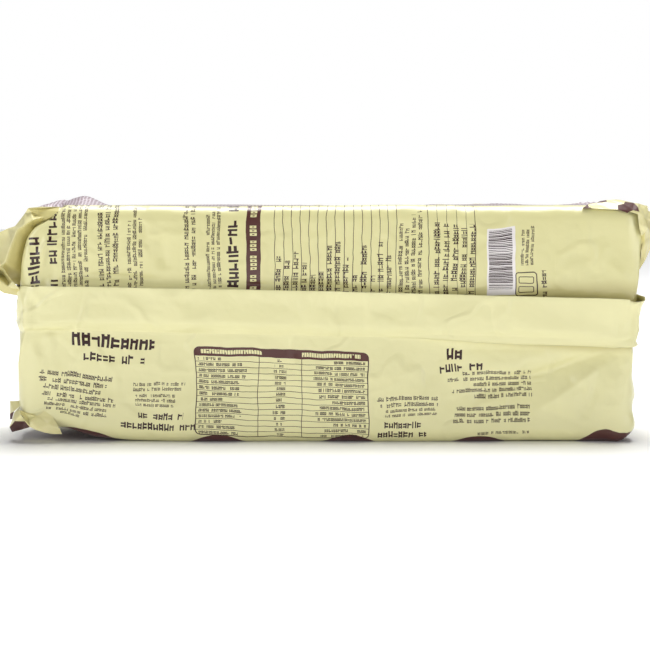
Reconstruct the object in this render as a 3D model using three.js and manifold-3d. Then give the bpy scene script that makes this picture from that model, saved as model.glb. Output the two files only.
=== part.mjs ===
// A three-kilogram block of sesame halva, shut in a flow-wrapped film and standing on its long narrow side.
// X runs along the block, -Y is the broad side that carries the fin seal, +Z is up. Millimetres.
// The origin is on the floor, under the middle of the pack.
import * as THREE from "three";
import Module from "manifold-3d";
import { mergeVertices } from "three/addons/utils/BufferGeometryUtils.js";

// Driving dimensions of the wrapped block
const blockLength = 304;
const blockDepth = 79;
const blockHeight = 117;
const edgeRadius = 7;

// How far the slack film stands off the block
const frontBulge = 0.8;
const backBulge = 3.6;
const topSag = 1.4;
const waveHeight = 0.35;
const wavePitch = 58;
const endTent = 8;
const endLean = 3.5;
const cornerLift = 3.5;
const liftedLength = 26;

// The fin seal: two film edges welded together and folded up flat
const finWidth = 21;
const finRootLeft = 56;
const finRootRight = 49.5;
const finRise = 2.4; // the fin is this much wider near its left end
const finProud = 1.6;
const finOverhang = 5;
const filmFold = 1.3; // two layers of film with the air between them

// The crimped end seals and the loose ears at their ends
const endSealWidth = 12;
const endSealReach = 44;
const earReach = 16;

const halfLength = blockLength / 2;
const halfDepth = blockDepth / 2;
const halfHeight = blockHeight / 2;
const filmColour = 0xe9e4ba;

const { clamp, lerp, smoothstep } = THREE.MathUtils;
const wasm = await Module();
wasm.setup();

// A closed box grid whose corners (a, b, c), each from -1 to 1, are moved to place(a, b, c).
function mappedBox(steps, place) {
  const box = new THREE.BoxGeometry(2, 2, 2, ...steps);
  const corners = box.getAttribute("position");
  const corner = new THREE.Vector3();
  for (let i = 0; i < corners.count; i++) {
    corner.fromBufferAttribute(corners, i);
    const moved = place(corner.x, corner.y, corner.z);
    corners.setXYZ(i, moved.x, moved.y, moved.z);
  }
  return box;
}

function solidOf(geometry) {
  const bare = geometry.clone();
  bare.deleteAttribute("normal");
  bare.deleteAttribute("uv");
  const merged = mergeVertices(bare, 1e-3);
  return new wasm.Manifold(
    new wasm.Mesh({
      numProp: 3,
      vertProperties: merged.getAttribute("position").array,
      triVerts: new Uint32Array(merged.index.array),
    }),
  );
}

function geometryOf(solid) {
  const mesh = solid.getMesh();
  const geometry = new THREE.BufferGeometry();
  geometry.setAttribute("position", new THREE.BufferAttribute(mesh.vertProperties, 3));
  geometry.setIndex(new THREE.BufferAttribute(mesh.triVerts, 1));
  geometry.computeVertexNormals();
  return geometry;
}

// Grid position t, from -1 to 1, as a distance from the middle, with roundSteps of the steps kept for each edge.
function spread(t, half, steps, roundSteps) {
  const flatShare = 1 - (2 * roundSteps) / steps;
  const size = Math.abs(t);
  const flat = half - edgeRadius;
  if (size <= flatShare) return (t / flatShare) * flat;
  return Math.sign(t) * (flat + (edgeRadius * (size - flatShare)) / (1 - flatShare));
}

// A point of the rounded block, measured from its middle.
function roundedBlockPoint(p) {
  const inner = new THREE.Vector3(halfLength, halfDepth, halfHeight).subScalar(edgeRadius);
  const core = p.clone().clamp(inner.clone().negate(), inner);
  const outward = p.clone().sub(core);
  if (outward.lengthSq() > 0) outward.setLength(edgeRadius);
  return core.add(outward);
}

// How far the film at this share of the length and height stands off the broad side.
function broadSideBulge(bulge, u, w) {
  const x = u * halfLength;
  const z = w * halfHeight;
  const swell = (1 - u ** 4) * (1 - w ** 2);
  const waves = Math.sin((2 * Math.PI * x) / wavePitch + z / 20) * (1 - w ** 4) * (1 - u ** 8);
  return bulge * swell + waveHeight * waves;
}

// Slack, sag, tented ends and leaning right end of the film, on a point measured from the block's middle.
function drape(p) {
  const u = clamp(p.x / halfLength, -1, 1);
  const v = clamp(p.y / halfDepth, -1, 1);
  const w = clamp(p.z / halfHeight, -1, 1);
  const sideBulge = v < 0 ? frontBulge : backBulge;
  const endShare = clamp((Math.abs(p.x) - halfLength + edgeRadius) / edgeRadius, 0, 1);
  const draped = p.clone();
  draped.y += v * broadSideBulge(sideBulge, u, w);
  draped.z -= Math.max(0, w) * topSag * (1 - v ** 2) * (1 - u ** 6);
  draped.x += Math.sign(u) * endShare * endTent * (1 - Math.abs(v)) * (1 - w ** 6);
  draped.x += endLean * w * Math.max(0, u) ** 4;
  const lift = smoothstep(-p.x, halfLength - liftedLength, halfLength);
  draped.z += cornerLift * lift * Math.max(0, -w);
  draped.z += halfHeight;
  return draped;
}

function filmBody() {
  const roundSteps = 3;
  const steps = [34, 12, 14];
  return mappedBox(steps, (a, b, c) => {
    const p = new THREE.Vector3(
      spread(a, halfLength, steps[0], roundSteps),
      spread(b, halfDepth, steps[1], roundSteps),
      spread(c, halfHeight, steps[2], roundSteps),
    );
    return drape(roundedBlockPoint(p));
  });
}

// A sheet of folded film over surface(u, v), u and v from 0 to 1, as thick as a fold.
function foldedSheet(stepsAlong, stepsAcross, surface, thickness = filmFold) {
  const small = 1e-3;
  return mappedBox([stepsAlong, stepsAcross, 1], (a, b, c) => {
    const u = (a + 1) / 2;
    const v = (b + 1) / 2;
    const here = surface(u, v);
    const along = surface(u + small, v).sub(surface(u - small, v));
    const across = surface(u, v + small).sub(surface(u, v - small));
    const normal = along.cross(across).normalize();
    return here.addScaledVector(normal, (c * thickness) / 2);
  });
}

// A sheet stretched between two curves.
function sheetBetween(innerPoints, outerPoints, stepsAlong, stepsAcross) {
  const inner = new THREE.CatmullRomCurve3(innerPoints.map((p) => new THREE.Vector3(...p)));
  const outer = new THREE.CatmullRomCurve3(outerPoints.map((p) => new THREE.Vector3(...p)));
  const at = (curve, t) => curve.getPoint(clamp(t, 0, 1));
  return foldedSheet(stepsAlong, stepsAcross, (u, v) => at(inner, u).lerp(at(outer, u), v));
}

// The plan line of the fin: out of the left end seal, across the broad side, and into the right end seal.
function finPlan() {
  const front = -halfDepth - frontBulge;
  return new THREE.CatmullRomCurve3(
    [
      [-halfLength - endTent - 0.4, -1.5],
      [-halfLength - 4, -22],
      [-halfLength - 1.4, -34],
      [-halfLength + 5, front - 0.2],
      [-halfLength + 20, front - 0.4],
      [0, front - 0.8],
      [halfLength - 16, front - 0.5],
      [halfLength + 1, front + 0.6],
      [halfLength + finOverhang, front + 8],
      [halfLength + finOverhang + 0.6, -20],
      [halfLength + endTent + 0.6, -1.5],
    ].map(([x, y]) => new THREE.Vector3(x, y, 0)),
  );
}

// The folded-up fin, from its welded root to its free edge, which stands a little further off the block.
function finSeal() {
  const plan = finPlan();
  return foldedSheet(72, 4, (u, v) => {
    const t = clamp(u, 0, 1);
    const place = plan.getPointAt(t);
    const along = plan.getTangentAt(t);
    const outward = new THREE.Vector3(along.y, -along.x, 0);
    const share = clamp(place.x / halfLength, -1, 1);
    const root = lerp(finRootLeft, finRootRight, (share + 1) / 2);
    const leftRise = finRise * (1 - smoothstep(place.x, -halfLength * 0.7, -halfLength * 0.25));
    const waves = frontBulge - broadSideBulge(frontBulge, share, (2 * root) / blockHeight - 1);
    place.addScaledVector(outward, finProud * clamp(v, 0, 1) ** 0.6 - waves);
    return place.setZ(lerp(root, root + finWidth + leftRise, v));
  });
}

// The flat middle stretch of an end seal, bent back against the tented end. side is -1 at the left, 1 at the right.
function endSeal(side) {
  return foldedSheet(10, 3, (u, v) => {
    const z = lerp(halfHeight - endSealReach, halfHeight + endSealReach, u);
    const y = v * endSealWidth;
    const tent = endTent * (1 - y / halfDepth);
    const lean = side > 0 ? endLean * (z / halfHeight - 1) : 0;
    return new THREE.Vector3(side * (halfLength + tent + 0.2 + v) + lean, y, z);
  });
}

// The ear at the upper left corner, pulled down and forward over the end.
function upperLeftEar() {
  const rim = -halfLength;
  return sheetBetween(
    [
      [rim + 14, -26, 115],
      [rim + 2, -34, 110],
      [rim + 1, -36, 92],
      [rim + 1.5, -36, 73],
    ],
    [
      [rim + 14, -8, 118.5],
      [rim + 1, -18, 118.5],
      [rim - 9, -24, 104],
      [rim - earReach + 0.6, -27, 89],
      [rim - 10, -31, 72],
    ],
    14,
    4,
  );
}

// The small crumpled ear at the lower left corner.
function lowerLeftEar() {
  const rim = -halfLength;
  return sheetBetween(
    [
      [rim + 3, -30, 26],
      [rim + 1.5, -35, 17],
      [rim + 8, -36, 8],
    ],
    [
      [rim - 6, -14, 24],
      [rim - 7, -22, 14],
      [rim - 3, -31, 6],
    ],
    8,
    3,
  );
}

// The ear at the upper right corner, crumpled over the top edge and down the end.
function upperRightEar() {
  const rim = halfLength + 2;
  return sheetBetween(
    [
      [rim - 26, -24, 115.4],
      [rim - 8, -28, 116],
      [rim - 1, -33, 106],
      [rim - 1, -32, 88],
    ],
    [
      [rim - 28, -4, 116.6],
      [rim - 6, -9, 119],
      [rim + 8, -14, 112],
      [rim + earReach - 2.6, -18, 101],
      [rim + 4, -26, 87],
    ],
    14,
    4,
  );
}

// The ear at the lower right corner, folded to the back and flat against the end.
function lowerRightEar() {
  const rim = halfLength - 2;
  return sheetBetween(
    [
      [rim + 1, 8, 27],
      [rim, 26, 19],
      [rim - 5, 30, 8],
    ],
    [
      [rim + 9, 3, 15],
      [rim + 8, 14, 9],
      [rim + 2, 24, 4],
    ],
    8,
    3,
  );
}

const pieces = [
  filmBody(),
  finSeal(),
  endSeal(-1),
  endSeal(1),
  upperLeftEar(),
  lowerLeftEar(),
  upperRightEar(),
  lowerRightEar(),
];
const whole = pieces.map(solidOf).reduce((joined, next) => joined.add(next));

const pack = new THREE.Mesh(
  geometryOf(whole),
  new THREE.MeshStandardMaterial({ color: filmColour, roughness: 0.4, metalness: 0 }),
);
pack.name = "wrapped_block";

const part = new THREE.Group();
part.add(pack);
export default part;
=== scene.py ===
"""A three-kilogram block of sesame halva in flow-wrap film, standing on its long narrow side."""

import logging
import math
from dataclasses import dataclass, field
from enum import Enum

import bpy
import numpy as np
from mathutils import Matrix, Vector
from mathutils.geometry import delaunay_2d_cdt

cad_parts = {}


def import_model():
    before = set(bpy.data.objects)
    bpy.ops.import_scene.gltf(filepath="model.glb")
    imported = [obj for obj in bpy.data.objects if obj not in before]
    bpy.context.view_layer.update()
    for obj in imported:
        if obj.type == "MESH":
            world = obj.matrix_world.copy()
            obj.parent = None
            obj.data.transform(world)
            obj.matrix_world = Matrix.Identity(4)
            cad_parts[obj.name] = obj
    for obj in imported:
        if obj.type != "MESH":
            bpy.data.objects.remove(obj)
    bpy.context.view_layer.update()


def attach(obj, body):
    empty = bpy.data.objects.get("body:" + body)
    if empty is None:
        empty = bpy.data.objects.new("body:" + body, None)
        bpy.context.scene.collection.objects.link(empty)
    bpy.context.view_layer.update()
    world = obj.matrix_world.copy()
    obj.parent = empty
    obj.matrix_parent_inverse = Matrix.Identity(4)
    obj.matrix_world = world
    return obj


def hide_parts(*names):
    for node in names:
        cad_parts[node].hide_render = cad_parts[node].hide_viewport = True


log = logging.getLogger("halva_pack")
MM = 0.001
WHITE = (1.0, 1.0, 1.0, 1.0)
NEIGHBOURS = ((0, 1), (0, -1), (1, 0), (-1, 0))
Pair = tuple[float, float]
Triple = tuple[float, float, float]
Line = tuple[Pair, ...]


class Side(Enum):
    """The two ends of the pack."""

    LEFT = -1
    RIGHT = 1


class Align(Enum):
    """The edge that the rows of a text block keep to."""

    START = 0
    END = 1


class Weight(Enum):
    """How heavy the marks of a text block are."""

    FINE = 0
    BOLD = 1


class Dress(Enum):
    """What shows on a sheet of an ear: the bare outside, solid print, or painted shade, a darker olive copy
    of the film for sheets turned away from the light.
    """

    BARE = 0
    INKED = 1
    INNER = 2


def smoothstep(value: np.ndarray, low: float, high: float) -> np.ndarray:
    """Ease a value from 0 at low to 1 at high.

    Args:
        value: Where to evaluate.
        low: The value that gives 0.
        high: The value that gives 1.

    Returns:
        The eased values.
    """
    t = np.clip((np.asarray(value, float) - low) / (high - low), 0.0, 1.0)
    return t * t * (3.0 - 2.0 * t)


def unit_rows(vectors: np.ndarray) -> np.ndarray:
    """Scale the last axis of an array to length 1.

    Args:
        vectors: Vectors along the last axis.

    Returns:
        The unit vectors.
    """
    return vectors / np.maximum(np.linalg.norm(vectors, axis=-1, keepdims=True), 1e-12)


def film_normals(film: np.ndarray) -> np.ndarray:
    """Find the normals of a film grid that goes all the way round.

    Args:
        film: Positions by row and column.

    Returns:
        The outward unit normals.
    """
    along = np.gradient(film, axis=0)
    around = np.roll(film, -1, axis=1) - np.roll(film, 1, axis=1)
    return unit_rows(np.cross(along, around))


def between(places: np.ndarray | list[np.ndarray], t: np.ndarray) -> np.ndarray:
    """Go from the second to the third of four places, on a smooth curve through all of them.

    Args:
        places: The four places.
        t: How far to go, from 0 to 1.

    Returns:
        The places on the curve.
    """
    a, b, c, d = places
    cubic = (2 * a - 5 * b + 4 * c - d) * t**2 + (3 * b - a - 3 * c + d) * t**3
    return 0.5 * (2 * b + (c - a) * t + cubic)


def catmull_rom(points: np.ndarray, count: int) -> np.ndarray:
    """Run a smooth curve through rows of numbers.

    Args:
        points: One row for each control point.
        count: Roughly how many rows to return.

    Returns:
        Rows along the curve, ends included.
    """
    padded = np.vstack([2 * points[0] - points[1], points, 2 * points[-1] - points[-2]])
    spans = len(points) - 1
    t = np.linspace(0.0, 1.0, max(2, count // spans), endpoint=False)[:, None]
    return np.vstack([between(padded[i : i + 4], t) for i in range(spans)] + [points[-1:]])


@dataclass(frozen=True)
class PackSizes:
    """The sizes of the block and its film, in metres."""

    length: float = 0.304
    depth: float = 0.079
    height: float = 0.117
    edge_radius: float = 0.007
    end_lean: float = 0.0035
    root_height: float = 0.0527
    root_skew: float = 0.0033
    fin_width: float = 0.0225
    end_seal_width: float = 0.012

    @property
    def half_length(self) -> float:
        """Half the block's length."""
        return self.length / 2

    @property
    def half_depth(self) -> float:
        """Half the block's depth."""
        return self.depth / 2

    @property
    def girth(self) -> float:
        """The way round the block's section."""
        return 2 * (self.depth + self.height) - (8 - 2 * math.pi) * self.edge_radius


@dataclass(frozen=True)
class Girdle:
    """The rounded section of the block, walked from the fin's root up the front and round."""

    sizes: PackSizes

    @property
    def to_top(self) -> float:
        """The way from the fin's root to the middle of the top face."""
        s = self.sizes
        quarter = math.pi * s.edge_radius / 2
        return s.height - s.edge_radius - s.root_height + quarter + s.half_depth - s.edge_radius

    def point(self, walked: np.ndarray) -> tuple[np.ndarray, np.ndarray]:
        """Find the points of the section.

        Args:
            walked: Ways from the fin's root, taken round the girth as often as needed.

        Returns:
            The y and z of each point.
        """
        s = self.sizes
        r = s.edge_radius
        quarter = math.pi * r / 2
        flat, side = s.depth - 2 * r, s.height - 2 * r
        inner = s.half_depth - r
        # Each leg: its length, the y and z and the direction that it starts with, or for a rounded
        # edge its middle and the angle that it starts at
        legs = [
            (s.height - r - s.root_height, -s.half_depth, s.root_height, 0.0, 1.0, 0.0),
            (quarter, -inner, s.height - r, 0.0, 0.0, 180.0),
            (flat, -inner, s.height, 1.0, 0.0, 0.0),
            (quarter, inner, s.height - r, 0.0, 0.0, 90.0),
            (side, s.half_depth, s.height - r, 0.0, -1.0, 0.0),
            (quarter, inner, r, 0.0, 0.0, 0.0),
            (flat, inner, 0.0, -1.0, 0.0, 0.0),
            (quarter, -inner, r, 0.0, 0.0, 270.0),
            (s.root_height - r, -s.half_depth, r, 0.0, 1.0, 0.0),
        ]
        left = np.mod(walked, s.girth)
        y, z = np.zeros_like(left), np.zeros_like(left)
        start = 0.0
        for span, y0, z0, dy, dz, angle in legs:
            here = (left >= start - 1e-12) & (left <= start + span + 1e-9)
            t = left[here] - start
            if dy or dz:
                y[here], z[here] = y0 + dy * t, z0 + dz * t
            else:
                turn = math.radians(angle) - t / r
                y[here], z[here] = y0 + r * np.cos(turn), z0 + r * np.sin(turn)
            start += span
        return y, z


class SealPath:
    """The line that an end seal lies on, from its bottom tip to its top tip, out from the block's end."""

    samples = 1200
    anchor_height = 0.045

    def __init__(self, rows: list[tuple[float, ...]], half_girth: float, level: float | None) -> None:
        """Smooth the path and spread the flattened film along it.

        Args:
            rows: Out, y and z of points on the seal's inner line in millimetres, then the
                direction from there to the seal's free edge.
            half_girth: The length of the flattened film.
            level: The part of it below the table's level where the film keeps its height half
                way up the block, or None to spread it evenly.
        """
        curve = catmull_rom(np.array(rows, float), self.samples)
        self.place = curve[:, :3] * MM
        self.across = unit_rows(curve[:, 3:])
        along = unit_rows(np.gradient(self.place, axis=0))
        self.normal = unit_rows(np.cross(along, self.across))
        steps = np.linalg.norm(np.diff(self.place, axis=0), axis=1)
        walked = np.concatenate([[0.0], np.cumsum(steps)])
        self.share = walked / walked[-1] * half_girth
        if level is not None:
            off = np.abs(self.place[:, 1]) + np.abs(self.place[:, 2] - self.anchor_height)
            middle = int(np.argmin(off))
            held = self.place[middle, 2] + level
            low = walked / walked[middle] * held
            rest = (walked - walked[middle]) / (walked[-1] - walked[middle])
            high = held + rest * (half_girth - held)
            self.share = np.where(walked < walked[middle], low, high)

    def at(self, share: np.ndarray) -> tuple[np.ndarray, np.ndarray, np.ndarray]:
        """Read the path at some widths of the flattened film.

        Args:
            share: Distances along the flattened film from its bottom tip.

        Returns:
            The places, the directions across the seal and the seal's normals.
        """
        pick = [
            np.stack([np.interp(share, self.share, part[:, c]) for c in range(3)], 1)
            for part in (self.place, self.across, self.normal)
        ]
        return pick[0], unit_rows(pick[1]), unit_rows(pick[2])


@dataclass
class EndClosure:
    """How the film closes over one end: the seal's last place and how slack the film is, low and high."""

    side: Side
    rows: list[tuple[float, ...]]
    keeps_level: bool = False
    slack: Pair = (0.03, 0.09)
    slack_heights: Pair = (30.0, 80.0)
    spare: float = 0.0010
    reach: float = 0.045


@dataclass
class FilmGrid:
    """The film tube as a grid, its rows along the pack and its columns round it."""

    sizes: PackSizes
    closures: list[EndClosure]
    column_step: float = 0.0028
    row_step: float = 0.0028
    middle_step: float = 0.008
    fine_length: float = 0.042
    grip_start: float = 0.014
    grip_end: float = 0.040
    least_grip: float = 0.02
    layer_gap: float = 0.0004
    fin_gap: float = 0.0012
    clearance: float = 0.0012
    end_clearance: float = 0.0005
    scale: float = 10.0
    table_size: float = 20.0
    table_drop: float = 0.008
    sealed_frame: int = 44
    last_frame: int = 60

    def __post_init__(self) -> None:
        """Lay out the columns, the rows and the tube before it is closed."""
        s = self.sizes
        self.girdle = Girdle(s)
        self.columns = 2 * round(s.girth / self.column_step / 2)
        self.fin_columns = round(s.fin_width / self.column_step)
        number = np.arange(self.columns)
        self.walked = self.girdle.to_top + number / self.columns * s.girth
        half = self.columns // 2
        turned = np.minimum(number, self.columns - number) / self.columns * s.girth
        self.from_foot = s.girth / 2 - turned
        self.layer = np.where((number == 0) | (number == half), 0.0, np.where(number < half, 1.0, -1.0))
        self.root = round((-self.girdle.to_top % s.girth) / s.girth * self.columns) % self.columns
        end = {c.side: self._end_rows(c) for c in self.closures}
        near = np.linspace(0.0, self.fine_length, round(self.fine_length / self.row_step) + 1)
        free = s.half_length - self.fine_length
        middle = np.linspace(-free, free, 2 * round(free / self.middle_step) + 1)
        body = np.concatenate([-s.half_length + near[:-1], middle, s.half_length - near[::-1][1:]])
        left = -(s.half_length + end[Side.LEFT][::-1])
        self.rows = np.concatenate([left, body, s.half_length + end[Side.RIGHT]])
        self.tube = self._tube()

    def _end_rows(self, closure: EndClosure) -> np.ndarray:
        """Space the rows past the block's end.

        Args:
            closure: The end to lay out.

        Returns:
            Distances past the end, as far as the seal's free edge.
        """
        total = closure.reach + self.sizes.end_seal_width
        count = round(total / self.row_step)
        return np.linspace(0.0, total, count + 1)[1:]

    def seal_path(self, closure: EndClosure) -> SealPath:
        """Lay out where an end seal comes to rest.

        Args:
            closure: The end to close.

        Returns:
            The seal line.
        """
        s = self.sizes
        under = s.half_depth - (2 - math.pi / 2) * s.edge_radius
        return SealPath(closure.rows, s.girth / 2, under if closure.keeps_level else None)

    def mouth_lean(self, side: Side, z: np.ndarray) -> np.ndarray:
        """Measure how far the block's end leans out.

        Args:
            side: The end.
            z: Heights.

        Returns:
            Distances outwards.
        """
        s = self.sizes
        lean = s.end_lean if side is Side.RIGHT else 0.0
        return lean * (2 * z / s.height - 1)

    def reach_of(self, closure: EndClosure) -> np.ndarray:
        """Give each column the film that it needs between the block's end and the seal, and a little slack.

        Args:
            closure: The end to close.

        Returns:
            One length for each column.
        """
        place = self.seal_path(closure).at(self.from_foot)[0]
        skew = self.sizes.root_skew * closure.side.value
        y, z = self.girdle.point(self.walked - skew)
        mouth = np.stack([self.mouth_lean(closure.side, z), y, z], axis=1)
        span = np.linalg.norm(place - mouth, axis=1)
        low, high = closure.slack
        slack = low + (high - low) * smoothstep(place[:, 2] / MM, *closure.slack_heights)
        return span * (1 + slack) + closure.spare

    def past_end(self, closure: EndClosure) -> tuple[np.ndarray, np.ndarray]:
        """Measure each row's way past the block's end, and past the seal's inner line."""
        past = closure.side.value * self.rows - self.sizes.half_length
        return np.clip(past / closure.reach, 0.0, 1.0), np.maximum(past - closure.reach, 0.0)

    def _tube(self) -> np.ndarray:
        """Wrap the open tube round the block.

        Returns:
            Positions by row and column.
        """
        s = self.sizes
        out = np.zeros((len(self.rows), self.columns, 3))
        for i, x in enumerate(self.rows):
            skew = s.root_skew * np.clip(x / s.half_length, -1.0, 1.0)
            out[i, :, 1], out[i, :, 2] = self.girdle.point(self.walked - skew)
        out[:, :, 0] = self.rows[:, None]
        for closure in self.closures:
            sign = closure.side.value
            share, into = self.past_end(closure)
            reach = self.reach_of(closure)
            near = smoothstep(sign * self.rows, s.half_length - self.fine_length, s.half_length)[:, None]
            out[:, :, 0] += sign * near * self.mouth_lean(closure.side, out[:, :, 2])
            for i in np.nonzero(share > 0)[0]:
                past = share[i] * reach + into[i] + self.mouth_lean(closure.side, out[i, :, 2])
                out[i, :, 0] = sign * (s.half_length + past)
        return out

    def closed(self, paths: dict[Side, SealPath]) -> np.ndarray:
        """Move the end rows on to seal lines, with straight film between them and the block.

        Args:
            paths: The seal line of each end.

        Returns:
            Positions by row and column.
        """
        s = self.sizes
        out = self.tube.copy()
        for closure in self.closures:
            sign = closure.side.value
            place, across, normal = paths[closure.side].at(self.from_foot)
            share, into = self.past_end(closure)
            mouth = out[0 if sign < 0 else -1].copy()
            mouth[:, 0] = self.mouth_lean(closure.side, mouth[:, 2])
            for i in np.nonzero(share > 0)[0]:
                apart = normal * (self.layer_gap * self.layer)[:, None]
                sealed = place + across * into[i] + apart
                local = mouth * (1 - share[i]) + sealed * share[i]
                out[i, :, 0] = sign * (s.half_length + local[:, 0])
                out[i, :, 1:] = local[:, 1:]
        return out

    def fin(self, film: np.ndarray, paths: dict[Side, SealPath] | None) -> np.ndarray:
        """Lay the fin's free columns over the film above its root.

        Args:
            film: The film's positions.
            paths: The seal line of each end, or None for the open tube.

        Returns:
            Positions of the fin's columns, without its root.
        """
        over = [(self.root + j + 1) % self.columns for j in range(self.fin_columns)]
        off = np.minimum(1.0, (np.arange(self.fin_columns) + 1) / 2) * self.fin_gap
        out = film[:, over].copy()
        out[:, :, 1] -= off[None]
        for closure in self.closures if paths else []:
            normal = paths[closure.side].at(self.from_foot)[2][over]
            share, _ = self.past_end(closure)
            for i in np.nonzero(share > 0)[0]:
                lean = normal * share[i] + np.array([0.0, 1.0, 0.0]) * (1 - share[i])
                out[i] = film[i, over] - lean * off[:, None]
        return out

    def stages(self) -> list[np.ndarray]:
        """Make the film's two stages: the open tube, and sealed with its ears folded.

        Returns:
            One array of points for each stage, the film's first and then the fin's.
        """
        paths = {c.side: self.seal_path(c) for c in self.closures}
        made = []
        for film, lines in ((self.tube, None), (self.closed(paths), paths)):
            made.append(np.concatenate([film.reshape(-1, 3), self.fin(film, lines).reshape(-1, 3)]))
        return made

    def _faces(self) -> list[tuple[int, int, int, int]]:
        """List the quads of the film and of the fin.

        Returns:
            Vertex numbers of each quad.
        """
        rows, columns, fins = len(self.rows), self.columns, self.fin_columns

        def film_vertex(i: int, j: int) -> int:
            """Number the vertex of the film in row i and column j."""
            return i * columns + j % columns

        def fin_vertex(i: int, j: int) -> int:
            """Number the vertex of the fin in row i, j columns from its root."""
            return i * columns + self.root if j == 0 else rows * columns + i * fins + j - 1

        return [
            (vertex(i, j), vertex(i, j + 1), vertex(i + 1, j + 1), vertex(i + 1, j))
            for vertex, count in ((film_vertex, columns), (fin_vertex, fins))
            for i in range(rows - 1)
            for j in range(count)
        ]

    def _grip(self) -> list[tuple[list[int], float]]:
        """Say how firmly each vertex is held.

        Returns:
            Vertex numbers with their grip.
        """
        s = self.sizes
        total = len(self.rows) * self.columns
        held: list[tuple[list[int], float]] = []
        sealed = np.zeros(len(self.rows), bool)
        for closure in self.closures:
            sealed |= closure.side.value * self.rows - s.half_length >= closure.reach - 1e-9
        for i, x in enumerate(self.rows):
            ring = [i * self.columns + j for j in range(self.columns)]
            blade = [total + i * self.fin_columns + j for j in range(self.fin_columns)]
            inside = s.half_length - abs(x)
            if sealed[i]:
                held.append((ring + blade, 1.0))
            elif inside > self.grip_start:
                grip = float(smoothstep(inside, self.grip_start, self.grip_end))
                held.append((ring, max(self.least_grip, grip)))
        return held

    def _block(self) -> None:
        """Make the block and the table that the film collides with."""
        s = self.sizes
        scale = self.scale
        bpy.ops.mesh.primitive_cube_add(size=1, location=(0.0, 0.0, s.height / 2 * scale))
        block = bpy.context.active_object
        block.name = "film_former"
        length = s.length - 2 * self.end_clearance
        depth, height = s.depth - 2 * self.clearance, s.height - 2 * self.clearance
        block.scale = (length * scale, depth * scale, height * scale)
        bpy.ops.object.transform_apply(location=True, scale=True)
        bevel = block.modifiers.new("rounding", "BEVEL")
        bevel.width = (s.edge_radius - self.clearance) * scale
        bevel.segments = 5
        bpy.ops.object.modifier_apply(modifier=bevel.name)
        middle = s.height / 2
        for vertex in block.data.vertices:
            if vertex.co.x > 0:
                vertex.co.x += s.end_lean * scale * (vertex.co.z / scale - middle) / middle
        bpy.ops.mesh.primitive_plane_add(size=self.table_size, location=(0.0, 0.0, -self.table_drop))
        table = bpy.context.active_object
        for solid in (block, table):
            solid.modifiers.new("touch", "COLLISION")
            solid.collision.thickness_outer = 0.004
            solid.collision.cloth_friction = 8
        self._props = [block, table]

    def close(self) -> tuple[np.ndarray, np.ndarray]:
        """Run the closing of the film.

        Returns:
            The film's positions by row and column, and the fin's.
        """
        opened, sealed = self.stages()
        mesh = bpy.data.meshes.new("film_tube")
        mesh.from_pydata((opened * self.scale).tolist(), [], self._faces())
        tube = bpy.data.objects.new("film_tube", mesh)
        bpy.context.scene.collection.objects.link(tube)
        tube.shape_key_add(name="open")
        key = tube.shape_key_add(name="sealed")
        key.data.foreach_set("co", (sealed.reshape(-1) * self.scale).astype(np.float32))
        for frame, value in ((1, 0.0), (self.sealed_frame, 1.0)):
            key.value = value
            key.keyframe_insert("value", frame=frame)
        for curve in tube.data.shape_keys.animation_data.action.fcurves:
            for point in curve.keyframe_points:
                point.interpolation = "LINEAR"
        group = tube.vertex_groups.new(name="grip")
        for numbers, grip in self._grip():
            group.add(numbers, grip, "REPLACE")
        self._block()
        self._set_up(tube.modifiers.new("closing", "CLOTH"))
        for frame in range(1, self.last_frame + 1):
            bpy.context.scene.frame_set(frame)
        shaped = tube.evaluated_get(bpy.context.evaluated_depsgraph_get())
        flat = np.zeros(len(shaped.data.vertices) * 3, np.float32)
        shaped.data.vertices.foreach_get("co", flat)
        points = flat.reshape(-1, 3).astype(float) / self.scale
        for thing in (tube, *self._props):
            bpy.data.objects.remove(thing, do_unlink=True)
        bpy.context.scene.frame_set(1)
        split = len(self.rows) * self.columns
        film = points[:split].reshape(len(self.rows), self.columns, 3)
        return film, points[split:].reshape(len(self.rows), self.fin_columns, 3)

    def _set_up(self, cloth: bpy.types.Modifier) -> None:
        """Give the cloth the behaviour of thin, slightly stiff film.

        Args:
            cloth: The cloth modifier.
        """
        settings = cloth.settings
        settings.quality = 5
        settings.mass = 0.15
        settings.tension_stiffness = settings.compression_stiffness = 60
        settings.shear_stiffness = 30
        settings.bending_stiffness = 2.0
        settings.tension_damping = settings.compression_damping = settings.shear_damping = 10
        settings.bending_damping = 1
        settings.air_damping = 3
        settings.vertex_group_mass = "grip"
        settings.pin_stiffness = 20
        settings.effector_weights.gravity = 0.15
        touch = cloth.collision_settings
        touch.use_collision = True
        touch.distance_min = 0.006
        touch.collision_quality = 2
        touch.use_self_collision = True
        touch.self_distance_min = 0.006
        touch.self_friction = 2
        cloth.point_cache.frame_start = 1
        cloth.point_cache.frame_end = self.last_frame


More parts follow.
